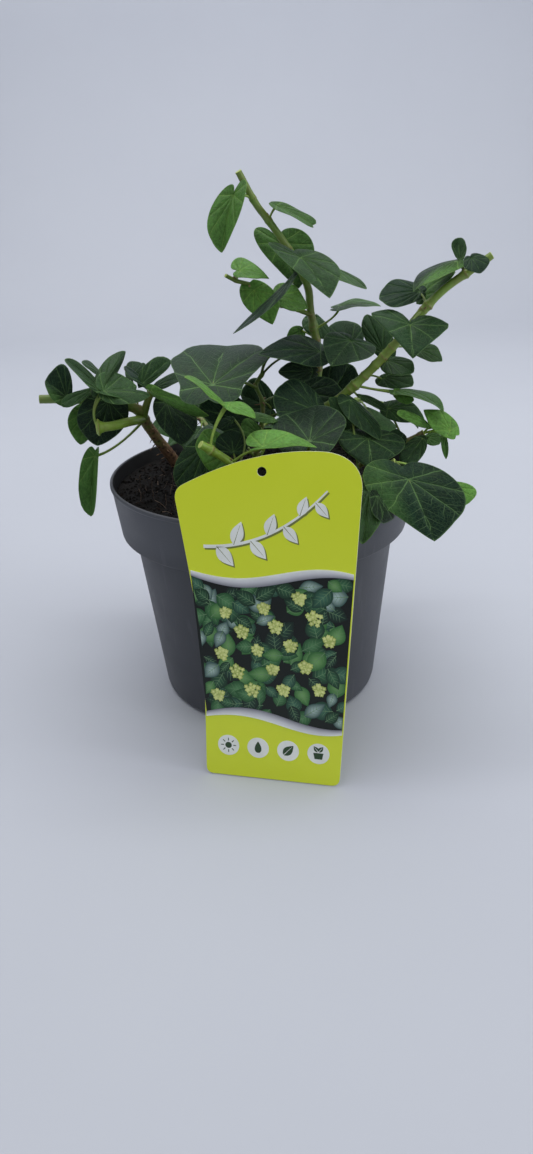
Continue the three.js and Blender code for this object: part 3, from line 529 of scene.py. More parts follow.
def leaf_material(name, flesh_tones, vein_tones, vein_share, roughness, gloss):
    """One side of an ivy leaf: its tones are for an old and for a young leaf."""
    material, nodes, shader = finished_material(name, roughness, specular_ior_level=gloss)
    shader["Specular Tint"].default_value = (0.82, 1.0, 0.9, 1.0)
    place = object_place(nodes)
    youth = nodes.attribute("youth")
    chance = nodes.attribute("chance")
    rim = nodes.attribute("rim")
    leaf = nodes.add("ShaderNodeUVMap", uv_map="leaf").outputs[0]
    veins = nodes.group(LEAF_VEINS, {"Leaf": leaf, "Chance": chance, "Width": 0.0105})
    grain = nodes.group(GRAIN, {"Place": place, "Fine": 700.0, "Broad": 90.0})
    flesh = nodes.blend(youth, *flesh_tones)
    # Youth below 0 paints shade on a leaf that lies in shade: its flesh darkens down to 0.45 of its tone at
    # -1.
    painted_leaf_shade = nodes.ramp(youth, -1.0, 0.0, 0.45, 1.0)
    shade = nodes.scaled(grain["Blotch"], 0.36, nodes.ramp(chance, 0.0, 1.0, 0.42, 0.72))
    shade = nodes.scaled(nodes.ramp(grain["Grain"], 0.36, 0.64), 0.36, shade)
    shade = nodes.times(shade, painted_leaf_shade)
    flesh = nodes.blend(1.0, flesh, nodes.grey(shade), "MULTIPLY")
    vein = nodes.blend(youth, *vein_tones)
    share = nodes.times(veins["Main"], vein_share)
    for mask, part in (("Side", 0.55), ("Net", 0.2), ("Near", 0.16)):
        share = nodes.larger(share, nodes.times(veins[mask], vein_share * part))
    share = nodes.larger(share, nodes.ramp(rim, 0.965, 1.0, 0.0, 0.55))
    flesh = nodes.blend(share, flesh, vein)
    spots = nodes.ramp(nodes.noise(place, 60.0, 3, 0.6), 0.71, 0.76)
    spots = nodes.times(spots, nodes.ramp(chance, 0.7, 0.8))
    flesh = nodes.blend(nodes.times(spots, 0.7), flesh, colour(86, 66, 34))
    paint(nodes, shader, flesh, nodes.scaled(grain["Grain"], 0.16, roughness - 0.08))
    height = nodes.scaled(veins["Near"], -0.7, nodes.times(veins["Side"], -0.8))
    height = nodes.scaled(veins["Net"], -0.3, height)
    height = nodes.scaled(grain["Grain"], 0.5, height)
    bump(nodes, shader, height, 0.00022)
    return material


def stem_material():
    material, nodes, shader = finished_material("ivy_stem", 0.5)
    place = object_place(nodes)
    wood = nodes.attribute("wood")
    cut = nodes.attribute("cut")
    youth = nodes.attribute("youth")
    grain = nodes.group(GRAIN, {"Place": place, "Fine": 500.0, "Broad": 140.0})
    green = nodes.blend(youth, colour(66, 92, 36), colour(138, 174, 66))
    green = nodes.blend(nodes.times(grain["Blotch"], 0.45), green, colour(112, 104, 52))
    streaks = nodes.cells(place, 420.0, "F1")
    bark = nodes.blend(nodes.ramp(streaks, 0.1, 0.6), colour(58, 44, 33), colour(150, 118, 88))
    bark = nodes.blend(nodes.times(grain["Blotch"], 0.5), bark, colour(96, 62, 44))
    patch = nodes.plus(wood, nodes.times(nodes.minus(grain["Blotch"], 0.5), 0.35))
    skin = nodes.blend(nodes.ramp(patch, 0.25, 0.75), green, bark)
    skin = nodes.blend(cut, skin, colour(176, 194, 104))
    paint(nodes, shader, skin, nodes.ramp(wood, 0.2, 0.8, 0.42, 0.78))
    bump(nodes, shader, nodes.plus(grain["Grain"], nodes.times(streaks, wood)), 0.0004)
    return material


def pot_material():
    material, nodes, shader = finished_material("pot_plastic", 0.5, specular_ior_level=0.4)
    place = object_place(nodes)
    grain = nodes.group(GRAIN, {"Place": place, "Fine": 1400.0, "Broad": 26.0})
    height = nodes.add("ShaderNodeSeparateXYZ", {"Vector": place}).outputs[2]
    # Blotchy dust, heavier near the foot, and the whole collar above its step made paler.
    dust_and_pale_collar = nodes.times(grain["Blotch"], nodes.ramp(height, 0.0, 0.03, 0.55, 0.25))
    dust_and_pale_collar = nodes.plus(dust_and_pale_collar, nodes.ramp(height, 0.1, 0.112, 0.0, 0.35))
    body = nodes.blend(dust_and_pale_collar, colour(60, 62, 68), colour(84, 87, 94))
    streak_place = nodes.add("ShaderNodeMapping", {"Vector": place, "Scale": (1.0, 1.0, 0.08)}).outputs[0]
    scuffs = nodes.ramp(nodes.noise(streak_place, 260.0, 2), 0.62, 0.7)
    body = nodes.blend(nodes.times(scuffs, 0.08), body, colour(120, 122, 128))
    # Painted shade: the inner wall and floor of the pot, where shade falls inside it, are darkened almost to
    # black.
    inside = nodes.times(nodes.attribute("inside"), nodes.scaled(grain["Blotch"], 0.15, 0.8))
    body = nodes.blend(inside, body, colour(12, 11, 11))
    paint(nodes, shader, body, nodes.scaled(grain["Blotch"], 0.14, 0.42))
    bump(nodes, shader, grain["Grain"], 0.00008)
    return material


def soil_material():
    material, nodes, shader = finished_material("potting_soil", 0.92, specular_ior_level=0.25)
    place = object_place(nodes)
    chance = nodes.attribute("chance")
    grain = nodes.group(GRAIN, {"Place": place, "Fine": 900.0, "Broad": 160.0})
    peat = nodes.blend(grain["Blotch"], colour(4, 3, 3), colour(14, 10, 9))
    peat = nodes.blend(nodes.ramp(chance, 0.5, 0.95, 0.0, 0.85), peat, colour(46, 34, 29))
    peat = nodes.blend(nodes.ramp(chance, 0.9, 1.4, 0.0, 0.8), peat, colour(122, 106, 94))
    paint(nodes, shader, peat, nodes.scaled(grain["Grain"], 0.2, 0.8))
    bump(nodes, shader, nodes.plus(grain["Grain"], grain["Blotch"]), 0.0007)
    return material


def label_material():
    material, nodes, shader = finished_material("label_card", 0.34, coat_weight=0.25, coat_roughness=0.2)
    place = object_place(nodes)
    grain = nodes.group(GRAIN, {"Place": place, "Fine": 1200.0, "Broad": 24.0})
    card = nodes.blend(nodes.times(grain["Blotch"], 0.3), colour(216, 230, 36), colour(222, 234, 48))
    paint(nodes, shader, card, nodes.scaled(grain["Blotch"], 0.1, 0.3))
    bump(nodes, shader, grain["Grain"], 0.00003)
    return material


def core_material():
    """The pale core of the card, which shows at its cut edges."""
    material, nodes, shader = finished_material("label_core", 0.45)
    grain = nodes.group(GRAIN, {"Place": object_place(nodes), "Fine": 1500.0, "Broad": 80.0})
    pale = nodes.blend(grain["Blotch"], colour(226, 230, 206), colour(210, 216, 180))
    nodes.feed(shader["Base Color"], pale)
    return material


def ink_material():
    material, nodes, shader = finished_material("label_print", 0.34, coat_weight=0.1, specular_ior_level=0.3)
    ink = nodes.attribute("ink", "Color")
    grain = nodes.group(GRAIN, {"Place": object_place(nodes), "Fine": 1200.0, "Broad": 60.0})
    tone = nodes.scaled(grain["Blotch"], 0.12, 0.92)
    ink = nodes.blend(1.0, ink, nodes.grey(tone), "MULTIPLY")
    paint(nodes, shader, ink, nodes.scaled(grain["Blotch"], 0.1, 0.3))
    return material


LEAF_TOP = leaf_material(
    "ivy_leaf_top",
    flesh_tones=(colour(21, 43, 31), colour(96, 146, 64)),
    vein_tones=(colour(98, 132, 80), colour(140, 178, 84)),
    vein_share=0.8,
    roughness=0.37,
    gloss=0.16,
)
LEAF_UNDER = leaf_material(
    "ivy_leaf_under",
    flesh_tones=(colour(78, 112, 66), colour(120, 172, 88)),
    vein_tones=(colour(106, 136, 84), colour(140, 178, 86)),
    vein_share=0.5,
    roughness=0.6,
    gloss=0.2,
)
STEM_SKIN = stem_material()
POT_PLASTIC = pot_material()
SOIL = soil_material()
LABEL_CARD = label_material()
LABEL_CORE = core_material()
LABEL_INK = ink_material()
WHITE_INK = colour(236, 240, 236)


# Mesh helpers


def link(thing):
    bpy.context.scene.collection.objects.link(thing)
    return thing


def mesh_object(name, points, faces, materials, smooth=True):
    """A mesh object at the origin, from points in metres."""
    mesh = bpy.data.meshes.new(name)
    mesh.from_pydata([tuple(point) for point in points], [], faces)
    for material in materials:
        mesh.materials.append(material)
    mesh.polygons.foreach_set("use_smooth", [smooth] * len(mesh.polygons))
    return link(bpy.data.objects.new(name, mesh))


def set_values(mesh, name, values):
    attribute = mesh.attributes.new(name, "FLOAT", "POINT")
    attribute.data.foreach_set("value", np.asarray(values, np.float32))


def settle(piece, slot, *nodes):
    """Puts a finished piece on the plant's body, in place of the frame's nodes. The slot is not used."""
    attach(piece, "root")
    if nodes:
        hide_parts(*nodes)
    return piece


def unit(vector):
    return vector / np.linalg.norm(vector)


def circle(centre, radius, sides):
    """Points around a centre, anticlockwise, with one radius or one for each point."""
    turns = np.arange(sides) * 2 * math.pi / sides
    reaches = np.broadcast_to(radius, sides)
    return [(centre[0] + r * math.cos(t), centre[1] + r * math.sin(t)) for r, t in zip(reaches, turns)]


def bowed(start, via, end, share):
    """A place on the quadratic curve from start to end that via pulls towards itself."""
    return (1 - share) ** 2 * start + 2 * share * (1 - share) * via + share**2 * end


def baked(thing, name):
    """Turns an object with its modifiers into a plain mesh object of the given name."""
    graph = bpy.context.evaluated_depsgraph_get()
    mesh = bpy.data.meshes.new_from_object(thing.evaluated_get(graph))
    plain = link(bpy.data.objects.new(name, mesh))
    bpy.data.objects.remove(thing)
    mesh.name = name
    return plain


# Ivy blades


def smooth_reach(form, degrees):
    """The reach of a form at any angles, as a smooth curve that keeps the pointed tip."""
    angles, shares = np.array(FORMS[form], float).T
    steps = np.diff(angles)
    rises = np.diff(shares) / steps
    slopes = np.empty(len(angles))
    slopes[0] = rises[0]
    slopes[-1] = 0
    for i in range(1, len(angles) - 1):
        same = rises[i - 1] * rises[i] > 0
        slopes[i] = 2 * rises[i - 1] * rises[i] / (rises[i - 1] + rises[i]) if same else 0
    low = np.clip(np.searchsorted(angles, degrees, side="right") - 1, 0, len(steps) - 1)
    share = (degrees - angles[low]) / steps[low]
    bend = share * share * (3 - 2 * share)
    ease = share * (1 - share)
    value = shares[low] * (1 - bend) + shares[low + 1] * bend
    return value + steps[low] * ease * ((1 - share) * slopes[low] - share * slopes[low + 1])


def shoulder_of(form):
    """The widest place of a form, across and along, with straight lines between its corners."""
    angles, shares = np.array(FORMS[form], float).T
    degrees = np.arange(181)
    radius = np.interp(degrees, angles, shares)
    across = radius * np.sin(np.radians(degrees))
    widest = int(np.argmax(across))
    return across[widest], radius[widest] * math.cos(math.radians(widest))


class Blade:
    """The middle surface of one blade: places on it are shares of its length forward and across."""

    def __init__(self, row, dice):
        _, base, tip, left, right, self.form, self.arch, youth = row[:8]
        self.halves = youth if isinstance(youth, tuple) else (youth, youth)
        self.youth = sum(self.halves) / 2
        self.origin = np.array(base, float)
        self.along = np.array(tip, float) - self.origin
        self.length = np.linalg.norm(self.along)
        wide, ahead = shoulder_of(self.form)
        sides = [(np.array(side, float) - self.origin - ahead * self.along) / wide for side in (left, right)]
        self.up = unit(np.cross(self.along, unit(sides[0]) - unit(sides[1])))
        self.lifts = [side @ self.up for side in sides]
        self.flats = [side - lift * self.up for side, lift in zip(sides, self.lifts)]
        self.chance = dice.random()
        self.waves = dice.choice((3, 4, 5))
        self.phase = dice.uniform(0, 2 * math.pi)
        self.wave = dice.uniform(0.008, 0.02)
        self.cup = dice.uniform(-0.02, 0.05)

    def relief(self, forward, across):
        """Height above the plain folded blade: arch, waves of the edge, and flesh raised between veins."""
        radius = np.hypot(forward, across)
        angle = np.degrees(np.arctan2(np.abs(across), forward))
        share = np.clip(radius / np.maximum(smooth_reach(self.form, angle), 0.02), 0, 1)
        turn = np.arctan2(across, forward)
        height = 4 * self.arch * forward * (1 - forward)
        height += self.wave * np.sin(self.waves * turn + self.phase) * share**3
        height -= self.cup * across**2 * 2
        for before, after in zip(VEINS, (*VEINS[1:], 180)):
            within = (angle >= before) & (angle < after)
            place = np.sin(math.pi * (angle - before) / (after - before))
            height += np.where(within, PILLOW * place**0.7 * radius * (1 - share) * 2, 0)
        lengthwise = height * self.length
        for vein in VEINS:
            aside = radius * self.length * np.sin(np.radians(np.minimum(np.abs(angle - vein), 90)))
            lengthwise -= VEIN_GROOVE * np.exp(-((aside / 0.5) ** 2)) * np.sqrt(np.clip(1 - share, 0, 1))
        return lengthwise

    def place(self, forward, across):
        """Points on the middle surface, in millimetres."""
        forward, across = np.broadcast_arrays(np.asarray(forward, float), np.asarray(across, float))
        soft = np.sqrt(across**2 + FOLD_SOFTNESS**2) - FOLD_SOFTNESS
        left = (across < 0)[..., None]
        aside = np.where(left, self.flats[0], self.flats[1]) * np.abs(across)[..., None]
        lift = np.where(across < 0, self.lifts[0], self.lifts[1]) * soft
        rise = (lift + self.relief(forward, across))[..., None] * self.up
        return self.origin + forward[..., None] * self.along + aside + rise

    def normal(self, forward, across):
        step = 0.004
        ahead = self.place(forward + step, across) - self.place(forward - step, across)
        aside = self.place(forward, across + step) - self.place(forward, across - step)
        normals = np.cross(aside, ahead)
        return normals / np.linalg.norm(normals, axis=-1, keepdims=True)


def blade_angles(large):
    """Angles of the rays of a blade from the tip to the notch, closer together beside the veins."""
    plain = np.linspace(0, 180, 31 if large else 17)
    near = (1.6, 4.5) if large else (4,)
    beside = [vein + side * offset for vein in VEINS for offset in near for side in (-1, 1)]
    rays = sorted({round(float(angle), 2) for angle in (*plain, *VEINS, *beside) if 0 <= angle <= 180})
    kept = [rays[0]]
    for ray in rays[1:]:
        if ray - kept[-1] > 1.2:
            kept.append(ray)
    kept[-1] = 180.0
    return kept


def blade_mesh(blade):
    """A closed thin blade: points, faces, flat coordinates, under-side flags, youth and share of the rim."""
    large = blade.length > LARGE_BLADE
    half = blade_angles(large)
    angles = np.array([*half, *(-angle for angle in reversed(half[1:-1]))])
    shares = LARGE_RINGS if large else SMALL_RINGS
    radius = smooth_reach(blade.form, np.abs(angles))
    turns = np.radians(angles)
    rings = np.array(shares)[:, None] * radius[None, :]
    forward = np.concatenate([[0], (rings * np.cos(turns)).ravel()])
    across = np.concatenate([[0], (rings * np.sin(turns)).ravel()])
    share = np.concatenate([[0], np.repeat(shares, len(angles))])
    middle = blade.place(forward, across)
    half_wall = 0.5 * (BLADE_THICKNESS + (BLADE_EDGE - BLADE_THICKNESS) * share**4)
    offset = blade.normal(forward, across) * half_wall[:, None]
    points = np.concatenate([middle + offset, middle - offset]) * MM
    count = len(angles)
    shift = len(middle)
    faces = []
    for i in range(count):
        after = (i + 1) % count
        faces.append((0, 1 + after, 1 + i))
        faces.append((shift, shift + 1 + i, shift + 1 + after))
        for ring in range(len(shares) - 1):
            low = 1 + ring * count
            high = low + count
            faces.append((low + i, low + after, high + after, high + i))
            faces.append((shift + high + i, shift + high + after, shift + low + after, shift + low + i))
        rim = 1 + (len(shares) - 1) * count
        faces.append((rim + i, rim + after, shift + rim + after, shift + rim + i))
    flat = np.stack([across + UV_ORIGIN[0], forward + UV_ORIGIN[1]], axis=1) / UV_SPAN
    under = [min(face) >= shift for face in faces]
    # Halves of different youth paint one half of the blade lighter and the other darker, as light and shade
    # fall on them.
    youth = np.interp(across, (-0.3, 0.3), blade.halves)
    return points, faces, np.concatenate([flat, flat]), under, np.tile(youth, 2), np.tile(share, 2)


def leaf_blades(name, blades):
    """All the blades of one leafy stem, as one piece."""
    points, faces, flats, unders, youths, rims, chances = [], [], [], [], [], [], []
    for blade in blades:
        own_points, own_faces, flat, under, youth, rim = blade_mesh(blade)
        start = sum(len(part) for part in points)
        points.append(own_points)
        faces.extend(tuple(start + corner for corner in face) for face in own_faces)
        flats.append(flat)
        unders.extend(under)
        youths.extend(youth)
        rims.extend(rim)
        chances.extend([blade.chance] * len(own_points))
    piece = mesh_object(name, np.concatenate(points), faces, (LEAF_TOP, LEAF_UNDER))
    mesh = piece.data
    mesh.polygons.foreach_set("material_index", np.array(unders, np.int32))
    for label, values in (("youth", youths), ("rim", rims), ("chance", chances)):
        set_values(mesh, label, values)
    corners = np.empty(len(mesh.loops), np.int32)
    mesh.loops.foreach_get("vertex_index", corners)
    layer = mesh.uv_layers.new(name="leaf")
    layer.data.foreach_set("uv", np.concatenate(flats)[corners].astype(np.float32).ravel())
    return piece


# Ivy stems and leaf stalks


def route_of(branch):
    return [np.array(point, float) for point in branch["route"]]


def stem_point(route, place):
    """A point on the centripetal curve through the route, which the place counts in route points."""
    index = min(int(place), len(route) - 2)
    share = place - index
    second, third = route[index], route[index + 1]
    first = route[index - 1] if index > 0 else 2 * second - third
    fourth = route[index + 2] if index + 2 < len(route) else 2 * third - second
    spans = [math.sqrt(np.linalg.norm(b - a)) for a, b in ((first, second), (second, third), (third, fourth))]
    chord = (third - second) / spans[1]
    leave = (second - first) / spans[0] - (third - first) / (spans[0] + spans[1]) + chord
    arrive = chord - (fourth - second) / (spans[1] + spans[2]) + (fourth - third) / spans[2]
    leave, arrive = leave * spans[1], arrive * spans[1]
    cubic = 2 * second - 2 * third + leave + arrive
    square = -3 * second + 3 * third - 2 * leave - arrive
    return second + share * (leave + share * (square + share * cubic))


def sampled(route, step):
    """Points along a route, their places on it and the shares of its length up to each."""
    rough = sum(np.linalg.norm(b - a) for a, b in zip(route, route[1:]))
    places = np.linspace(0, len(route) - 1, max(4, int(rough / step)))
    points = np.array([stem_point(route, place) for place in places])
    gaps = np.linalg.norm(np.diff(points, axis=0), axis=1)
    shares = np.concatenate([[0], np.cumsum(gaps)])
    return points, places, shares / shares[-1]


def stem_line(branch):
    """The line of one branch: points with their radius, woodiness and cut-end mark."""
    points, places, shares = sampled(route_of(branch), STEM_STEP)
    radii = np.interp(shares, (0, 1), branch["radii"])
    wood = np.interp(shares, (0, 1), branch["wood"])
    for row in branch["leaves"]:
        joint = points[np.argmin(np.abs(places - row[0]))]
        away = np.linalg.norm(points - joint, axis=1)
        near = np.exp(-((away / 2.2) ** 2))
        ring = np.exp(-((away / 0.7) ** 2))
        radii = radii * (1 + 0.1 * near + 0.07 * ring)
        wood = np.maximum(wood, np.maximum(0.25 * near, 0.5 * ring))
    end_way = unit(points[-1] - points[-2])
    points = np.concatenate([points, [points[-1] + 0.15 * end_way, points[-1] + 0.3 * end_way]])
    radii = np.concatenate([radii, [radii[-1] * 0.97, radii[-1] * 0.9]])
    cut = np.zeros(len(points))
    cut[-2:] = (0.7, 1)
    wood = np.concatenate([wood, [wood[-1], wood[-1]]])
    return points, radii, wood, cut, np.full(len(points), branch.get("fresh", 0.35))


def stalk_line(branch, blade, row):
    """The line of one leaf stalk, which runs on under the blade as its raised midrib."""
    route = route_of(branch)
    start = stem_point(route, row[0])
    end = blade.place(0.0, 0.0) - 0.55 * blade.up
    if len(row) > 8:
        via = np.array(row[8], float)
    else:
        via = (start + end) / 2
        via[2] += STALK_RISE * np.linalg.norm(end - start)
    steps = max(5, int(np.linalg.norm(end - start) / 1.5))
    share = np.linspace(0, 1, steps)[:, None]
    curve = bowed(start, via, end, share)
    ribs = np.array([0.05, 0.12, 0.22, 0.34])
    rib = blade.place(ribs, 0 * ribs) - np.array([0.42, 0.3, 0.2, 0.1])[:, None] * blade.up
    points = np.concatenate([curve, rib])
    size = 0.5 + 0.4 * min(1, blade.length / 40)
    stalk = size * (1 - 0.22 * np.sin(math.pi * share[:, 0]))
    stalk[-1] *= 0.9
    radii = np.concatenate([stalk, size * np.array([0.6, 0.42, 0.3, 0.16])])
    wood = np.concatenate([0.25 * np.exp(-share[:, 0] * 9), np.zeros(len(ribs))])
    youth = np.full(len(points), 0.35 + 0.65 * blade.youth)
    return points, radii, wood, np.zeros(len(points)), youth


def side_line(start, way, length, size, wood):
    """A short line that tapers to a point: a bud or a rootlet."""
    shares = np.linspace(0, 1, 6)
    points = start + way * length * shares[:, None]
    radii = size * np.sqrt(np.clip(1 - shares**2, 0.01, 1))
    return points, radii, np.full(6, wood), np.zeros(6), np.full(6, 0.3)


def buds(branch, blades):
    """The small bud between the stem and each leaf stalk."""
    route = route_of(branch)
    lines = []
    for row, blade in zip(branch["leaves"], blades):
        if row[0] > len(route) - 1.3:
            continue
        joint = stem_point(route, row[0])
        stem_way = unit(stem_point(route, row[0] + 0.1) - joint)
        stalk_way = unit(blade.origin - joint)
        size = np.interp(row[0], (0, len(route) - 1), branch["radii"])
        way = unit(stem_way + 0.9 * stalk_way)
        lines.append(side_line(joint + 0.5 * size * way, way, 0.5 * size + 2.2, 0.75, 0.62))
    return lines


def rootlets(branch, dice):
    """Short clinging roots on the woody part of a stem."""
    route = route_of(branch)
    lines = []
    for _ in range(int(26 * branch["wood"][0] ** 3)):
        place = dice.uniform(0.6, 3.2)
        start = stem_point(route, min(place, len(route) - 1.1))
        turn = dice.uniform(0, 2 * math.pi)
        way = unit(np.array([math.cos(turn), math.sin(turn), dice.uniform(-0.8, 0.1)]))
        lines.append(side_line(start + 0.7 * branch["radii"][0] * way, way, dice.uniform(2.5, 6), 0.26, 0.9))
    return lines


def round_stem_tree():
    """Geometry Nodes that make round stems of their own radius along lines."""
    tree, nodes, given, result = node_group(
        "round_stems",
        "GeometryNodeTree",
        [("Lines", "NodeSocketGeometry", None), ("Sides", "NodeSocketInt", STEM_SIDES),
         ("Roughness", "NodeSocketFloat", 0.00018)],
        [("Stems", "NodeSocketGeometry")],
    )
    radius = nodes.add("GeometryNodeInputNamedAttribute", {"Name": "radius"}, data_type="FLOAT").outputs[0]
    curves = nodes.add("GeometryNodeMeshToCurve", {"Mesh": given["Lines"]}).outputs[0]
    sized = nodes.add("GeometryNodeSetCurveRadius", {"Curve": curves, "Radius": radius}).outputs[0]
    ring = nodes.add("GeometryNodeCurvePrimitiveCircle", {"Resolution": given["Sides"], "Radius": 1.0})
    sweep = nodes.add(
        "GeometryNodeCurveToMesh", {"Curve": sized, "Profile Curve": ring.outputs[0], "Fill Caps": True}
    )
    if "Scale" in sweep.inputs:
        nodes.feed(sweep.inputs["Scale"], radius)
    position = nodes.add("GeometryNodeInputPosition").outputs[0]
    normal = nodes.add("GeometryNodeInputNormal").outputs[0]
    noise = nodes.noise(position, 700.0, 2)
    woody = nodes.add("GeometryNodeInputNamedAttribute", {"Name": "wood"}, data_type="FLOAT").outputs[0]
    coarse = nodes.times(given["Roughness"], nodes.scaled(woody, 3.5, 1.0))
    swell = nodes.times(nodes.minus(noise, 0.5), coarse)
    offset = nodes.add("ShaderNodeVectorMath", {0: normal}, operation="SCALE")
    nodes.feed(offset.inputs["Scale"], swell)
    moved = nodes.add("GeometryNodeSetPosition", {"Geometry": sweep.outputs[0], "Offset": offset.outputs[0]})
    whole = nodes.add("GeometryNodeRealizeInstances", {"Geometry": moved.outputs[0]})
    painted = nodes.add("GeometryNodeSetMaterial", {"Geometry": whole.outputs[0], "Material": STEM_SKIN})
    nodes.feed(result[0], painted.outputs[0])
    return tree


ROUND_STEMS = round_stem_tree()


def through_tree(thing, tree, name, **values):
    """Runs an object through a node tree, with the tree's named inputs set, and keeps the plain result."""
    modifier = thing.modifiers.new(tree.name, "NODES")
    modifier.node_group = tree
    for item in tree.interface.items_tree:
        if item.in_out == "INPUT" and item.name in values:
            modifier[item.identifier] = values[item.name]
    return baked(thing, name)


def stems_and_stalks(name, lines):
    points, edges = [], []
    for line in lines:
        start = sum(len(part) for part in points)
        points.append(line[0] * MM)
        edges.extend((start + i, start + i + 1) for i in range(len(line[0]) - 1))
    mesh = bpy.data.meshes.new(name + "_lines")
    mesh.from_pydata([tuple(point) for point in np.concatenate(points)], edges, [])
    set_values(mesh, "radius", np.concatenate([line[1] for line in lines]) * MM)
    for index, label in ((2, "wood"), (3, "cut"), (4, "youth")):
        set_values(mesh, label, np.concatenate([line[index] for line in lines]))
    thing = link(bpy.data.objects.new(name + "_lines", mesh))
    piece = through_tree(thing, ROUND_STEMS, name)
    piece.data.polygons.foreach_set("use_smooth", [True] * len(piece.data.polygons))
    return piece


def leafy_stem(node, branches, dice):
    blades = []
    lines = []
    for branch in branches:
        lines.append(stem_line(branch))
        own = [Blade(row, dice) for row in branch["leaves"]]
        lines += [stalk_line(branch, blade, row) for blade, row in zip(own, branch["leaves"])]
        lines += buds(branch, own)
        lines += rootlets(branch, dice)
        blades += own
    settle(stems_and_stalks(node.replace("_stem", "_wood"), lines), "ivy_foliage", node)
    settle(leaf_blades(node.replace("_stem", "_leaves"), blades), "ivy_foliage", node)


# Nursery pot


def turned(name, profile, sides, materials):
    """A closed solid of revolution from a profile that starts and ends on the axis."""
    turns = np.arange(sides) * 2 * math.pi / sides
    points = [(0, 0, profile[0][1])]
    for radius, height in profile[1:-1]:
        points.extend((radius * math.cos(turn), radius * math.sin(turn), height) for turn in turns)
    points.append((0, 0, profile[-1][1]))
    last = len(points) - 1
    rings = len(profile) - 2
    faces = []
    for i in range(sides):
        after = (i + 1) % sides
        faces.append((0, 1 + after, 1 + i))
        for ring in range(rings - 1):
            low = 1 + ring * sides
            faces.append((low + i, low + after, low + sides + after, low + sides + i))
        top = 1 + (rings - 1) * sides
        faces.append((top + i, top + after, last))
    return mesh_object(name, np.array(points) * MM, faces, materials)


def rounded(corners, steps=4):
    """A profile with each middle corner (radius, height, rounding) turned into a small arc."""
    profile = [corners[0][:2]]
    for before, corner, after in zip(corners, corners[1:], corners[2:]):
        place = np.array(corner[:2], float)
        size = corner[2]
        toward = [np.array(side[:2], float) - place for side in (before, after)]
        ends = [place + min(size, 0.45 * np.linalg.norm(way)) * unit(way) for way in toward]
        for share in np.linspace(0, 1, steps):
            profile.append(tuple(bowed(ends[0], place, ends[1], share)))
    profile.append(corners[-1][:2])
    return profile


def nursery_pot():
    corners = [
        (0, 0, 0), (BASE_RADIUS - 0.5, 0, 4), (BODY_RADIUS, COLLAR_HEIGHT - 1, 0.8),
        (COLLAR_RADIUS, COLLAR_HEIGHT, 1.2), (RIM_RADIUS - 0.8, POT_HEIGHT - 2.6, 0.5),
        (RIM_RADIUS, POT_HEIGHT - 2, 0.7), (RIM_RADIUS, POT_HEIGHT, 1),
        (RIM_RADIUS - POT_WALL, POT_HEIGHT, 0.7), (COLLAR_RADIUS - POT_WALL, COLLAR_HEIGHT + 1, 1),
        (BODY_RADIUS - POT_WALL, COLLAR_HEIGHT, 1), (BASE_RADIUS - POT_WALL, POT_FLOOR, 2), (0, POT_FLOOR, 0),
    ]
    profile = rounded(corners)
    pot = turned("pot_blank", profile, POT_SIDES, (POT_PLASTIC,))
    # The inner faces are marked as inside, for the painted shade that the pot's material gives them.
    top = max(range(len(profile)), key=lambda index: (profile[index][1], -profile[index][0]))
    rings = [float(index > top) for index in range(1, len(profile) - 1) for _ in range(POT_SIDES)]
    rings = [0.0, *rings, 1.0]
    set_values(pot.data, "inside", rings)
    for hole in range(DRAIN_HOLES):
        turn = (hole + 0.5) * 2 * math.pi / DRAIN_HOLES
        place = (DRAIN_CIRCLE * math.cos(turn) * MM, DRAIN_CIRCLE * math.sin(turn) * MM, 0)
        rim = [(DRAIN_RADIUS, -6), (DRAIN_RADIUS, 6)]
        drill = turned("drill", [(0, -6), *rim, (0, 6)], 32, (POT_PLASTIC,))
        drill.data.transform(Matrix.Translation(place))
        cut = pot.modifiers.new("drain_hole", "BOOLEAN")
        cut.operation = "DIFFERENCE"
        cut.object = drill
        drill.hide_render = True
    drills = [modifier.object for modifier in pot.modifiers]
    pot = baked(pot, "nursery_pot_shell")
    for drill in drills:
        bpy.data.objects.remove(drill)
    return settle(pot, "pot_plastic", "nursery_pot")


# Potting soil


def soil_height(x, y):
    """Unevenness of the soil's surface in millimetres."""
    broad = math.sin(x / 7.3 + 0.4) * math.cos(y / 6.1) + 0.6 * math.sin((x + 2 * y) / 11.7)
    fine = math.sin(x * 1.1 + 2 * math.sin(y * 0.7)) * math.cos(y * 1.3 + math.sin(x * 0.9))
    return 0.9 * broad + 0.5 * fine


def soil_body():
    slope = (RIM_RADIUS - COLLAR_RADIUS) / (POT_HEIGHT - COLLAR_HEIGHT)
    gap = POT_WALL + SOIL_GAP
    edge = COLLAR_RADIUS - gap + slope * (SOIL_LEVEL - COLLAR_HEIGHT)
    floor = POT_FLOOR + SOIL_GAP
    profile = [
        (0, floor), (BASE_RADIUS - gap, floor), (BODY_RADIUS - gap, COLLAR_HEIGHT),
        (COLLAR_RADIUS - gap, COLLAR_HEIGHT + 1.5),
    ]
    profile.extend((edge * share, SOIL_LEVEL) for share in np.linspace(1, 0.02, 48))
    profile.append((0, SOIL_LEVEL))
    body = turned("soil_body", profile, SOIL_SIDES, (SOIL,))
    for vertex in body.data.vertices:
        within = math.hypot(vertex.co.x, vertex.co.y) < (edge - 0.5) * MM
        if within and vertex.co.z > (SOIL_LEVEL - 1) * MM:
            vertex.co.z += soil_height(vertex.co.x / MM, vertex.co.y / MM) * MM
    set_values(body.data, "chance", np.zeros(len(body.data.vertices)))
    return body


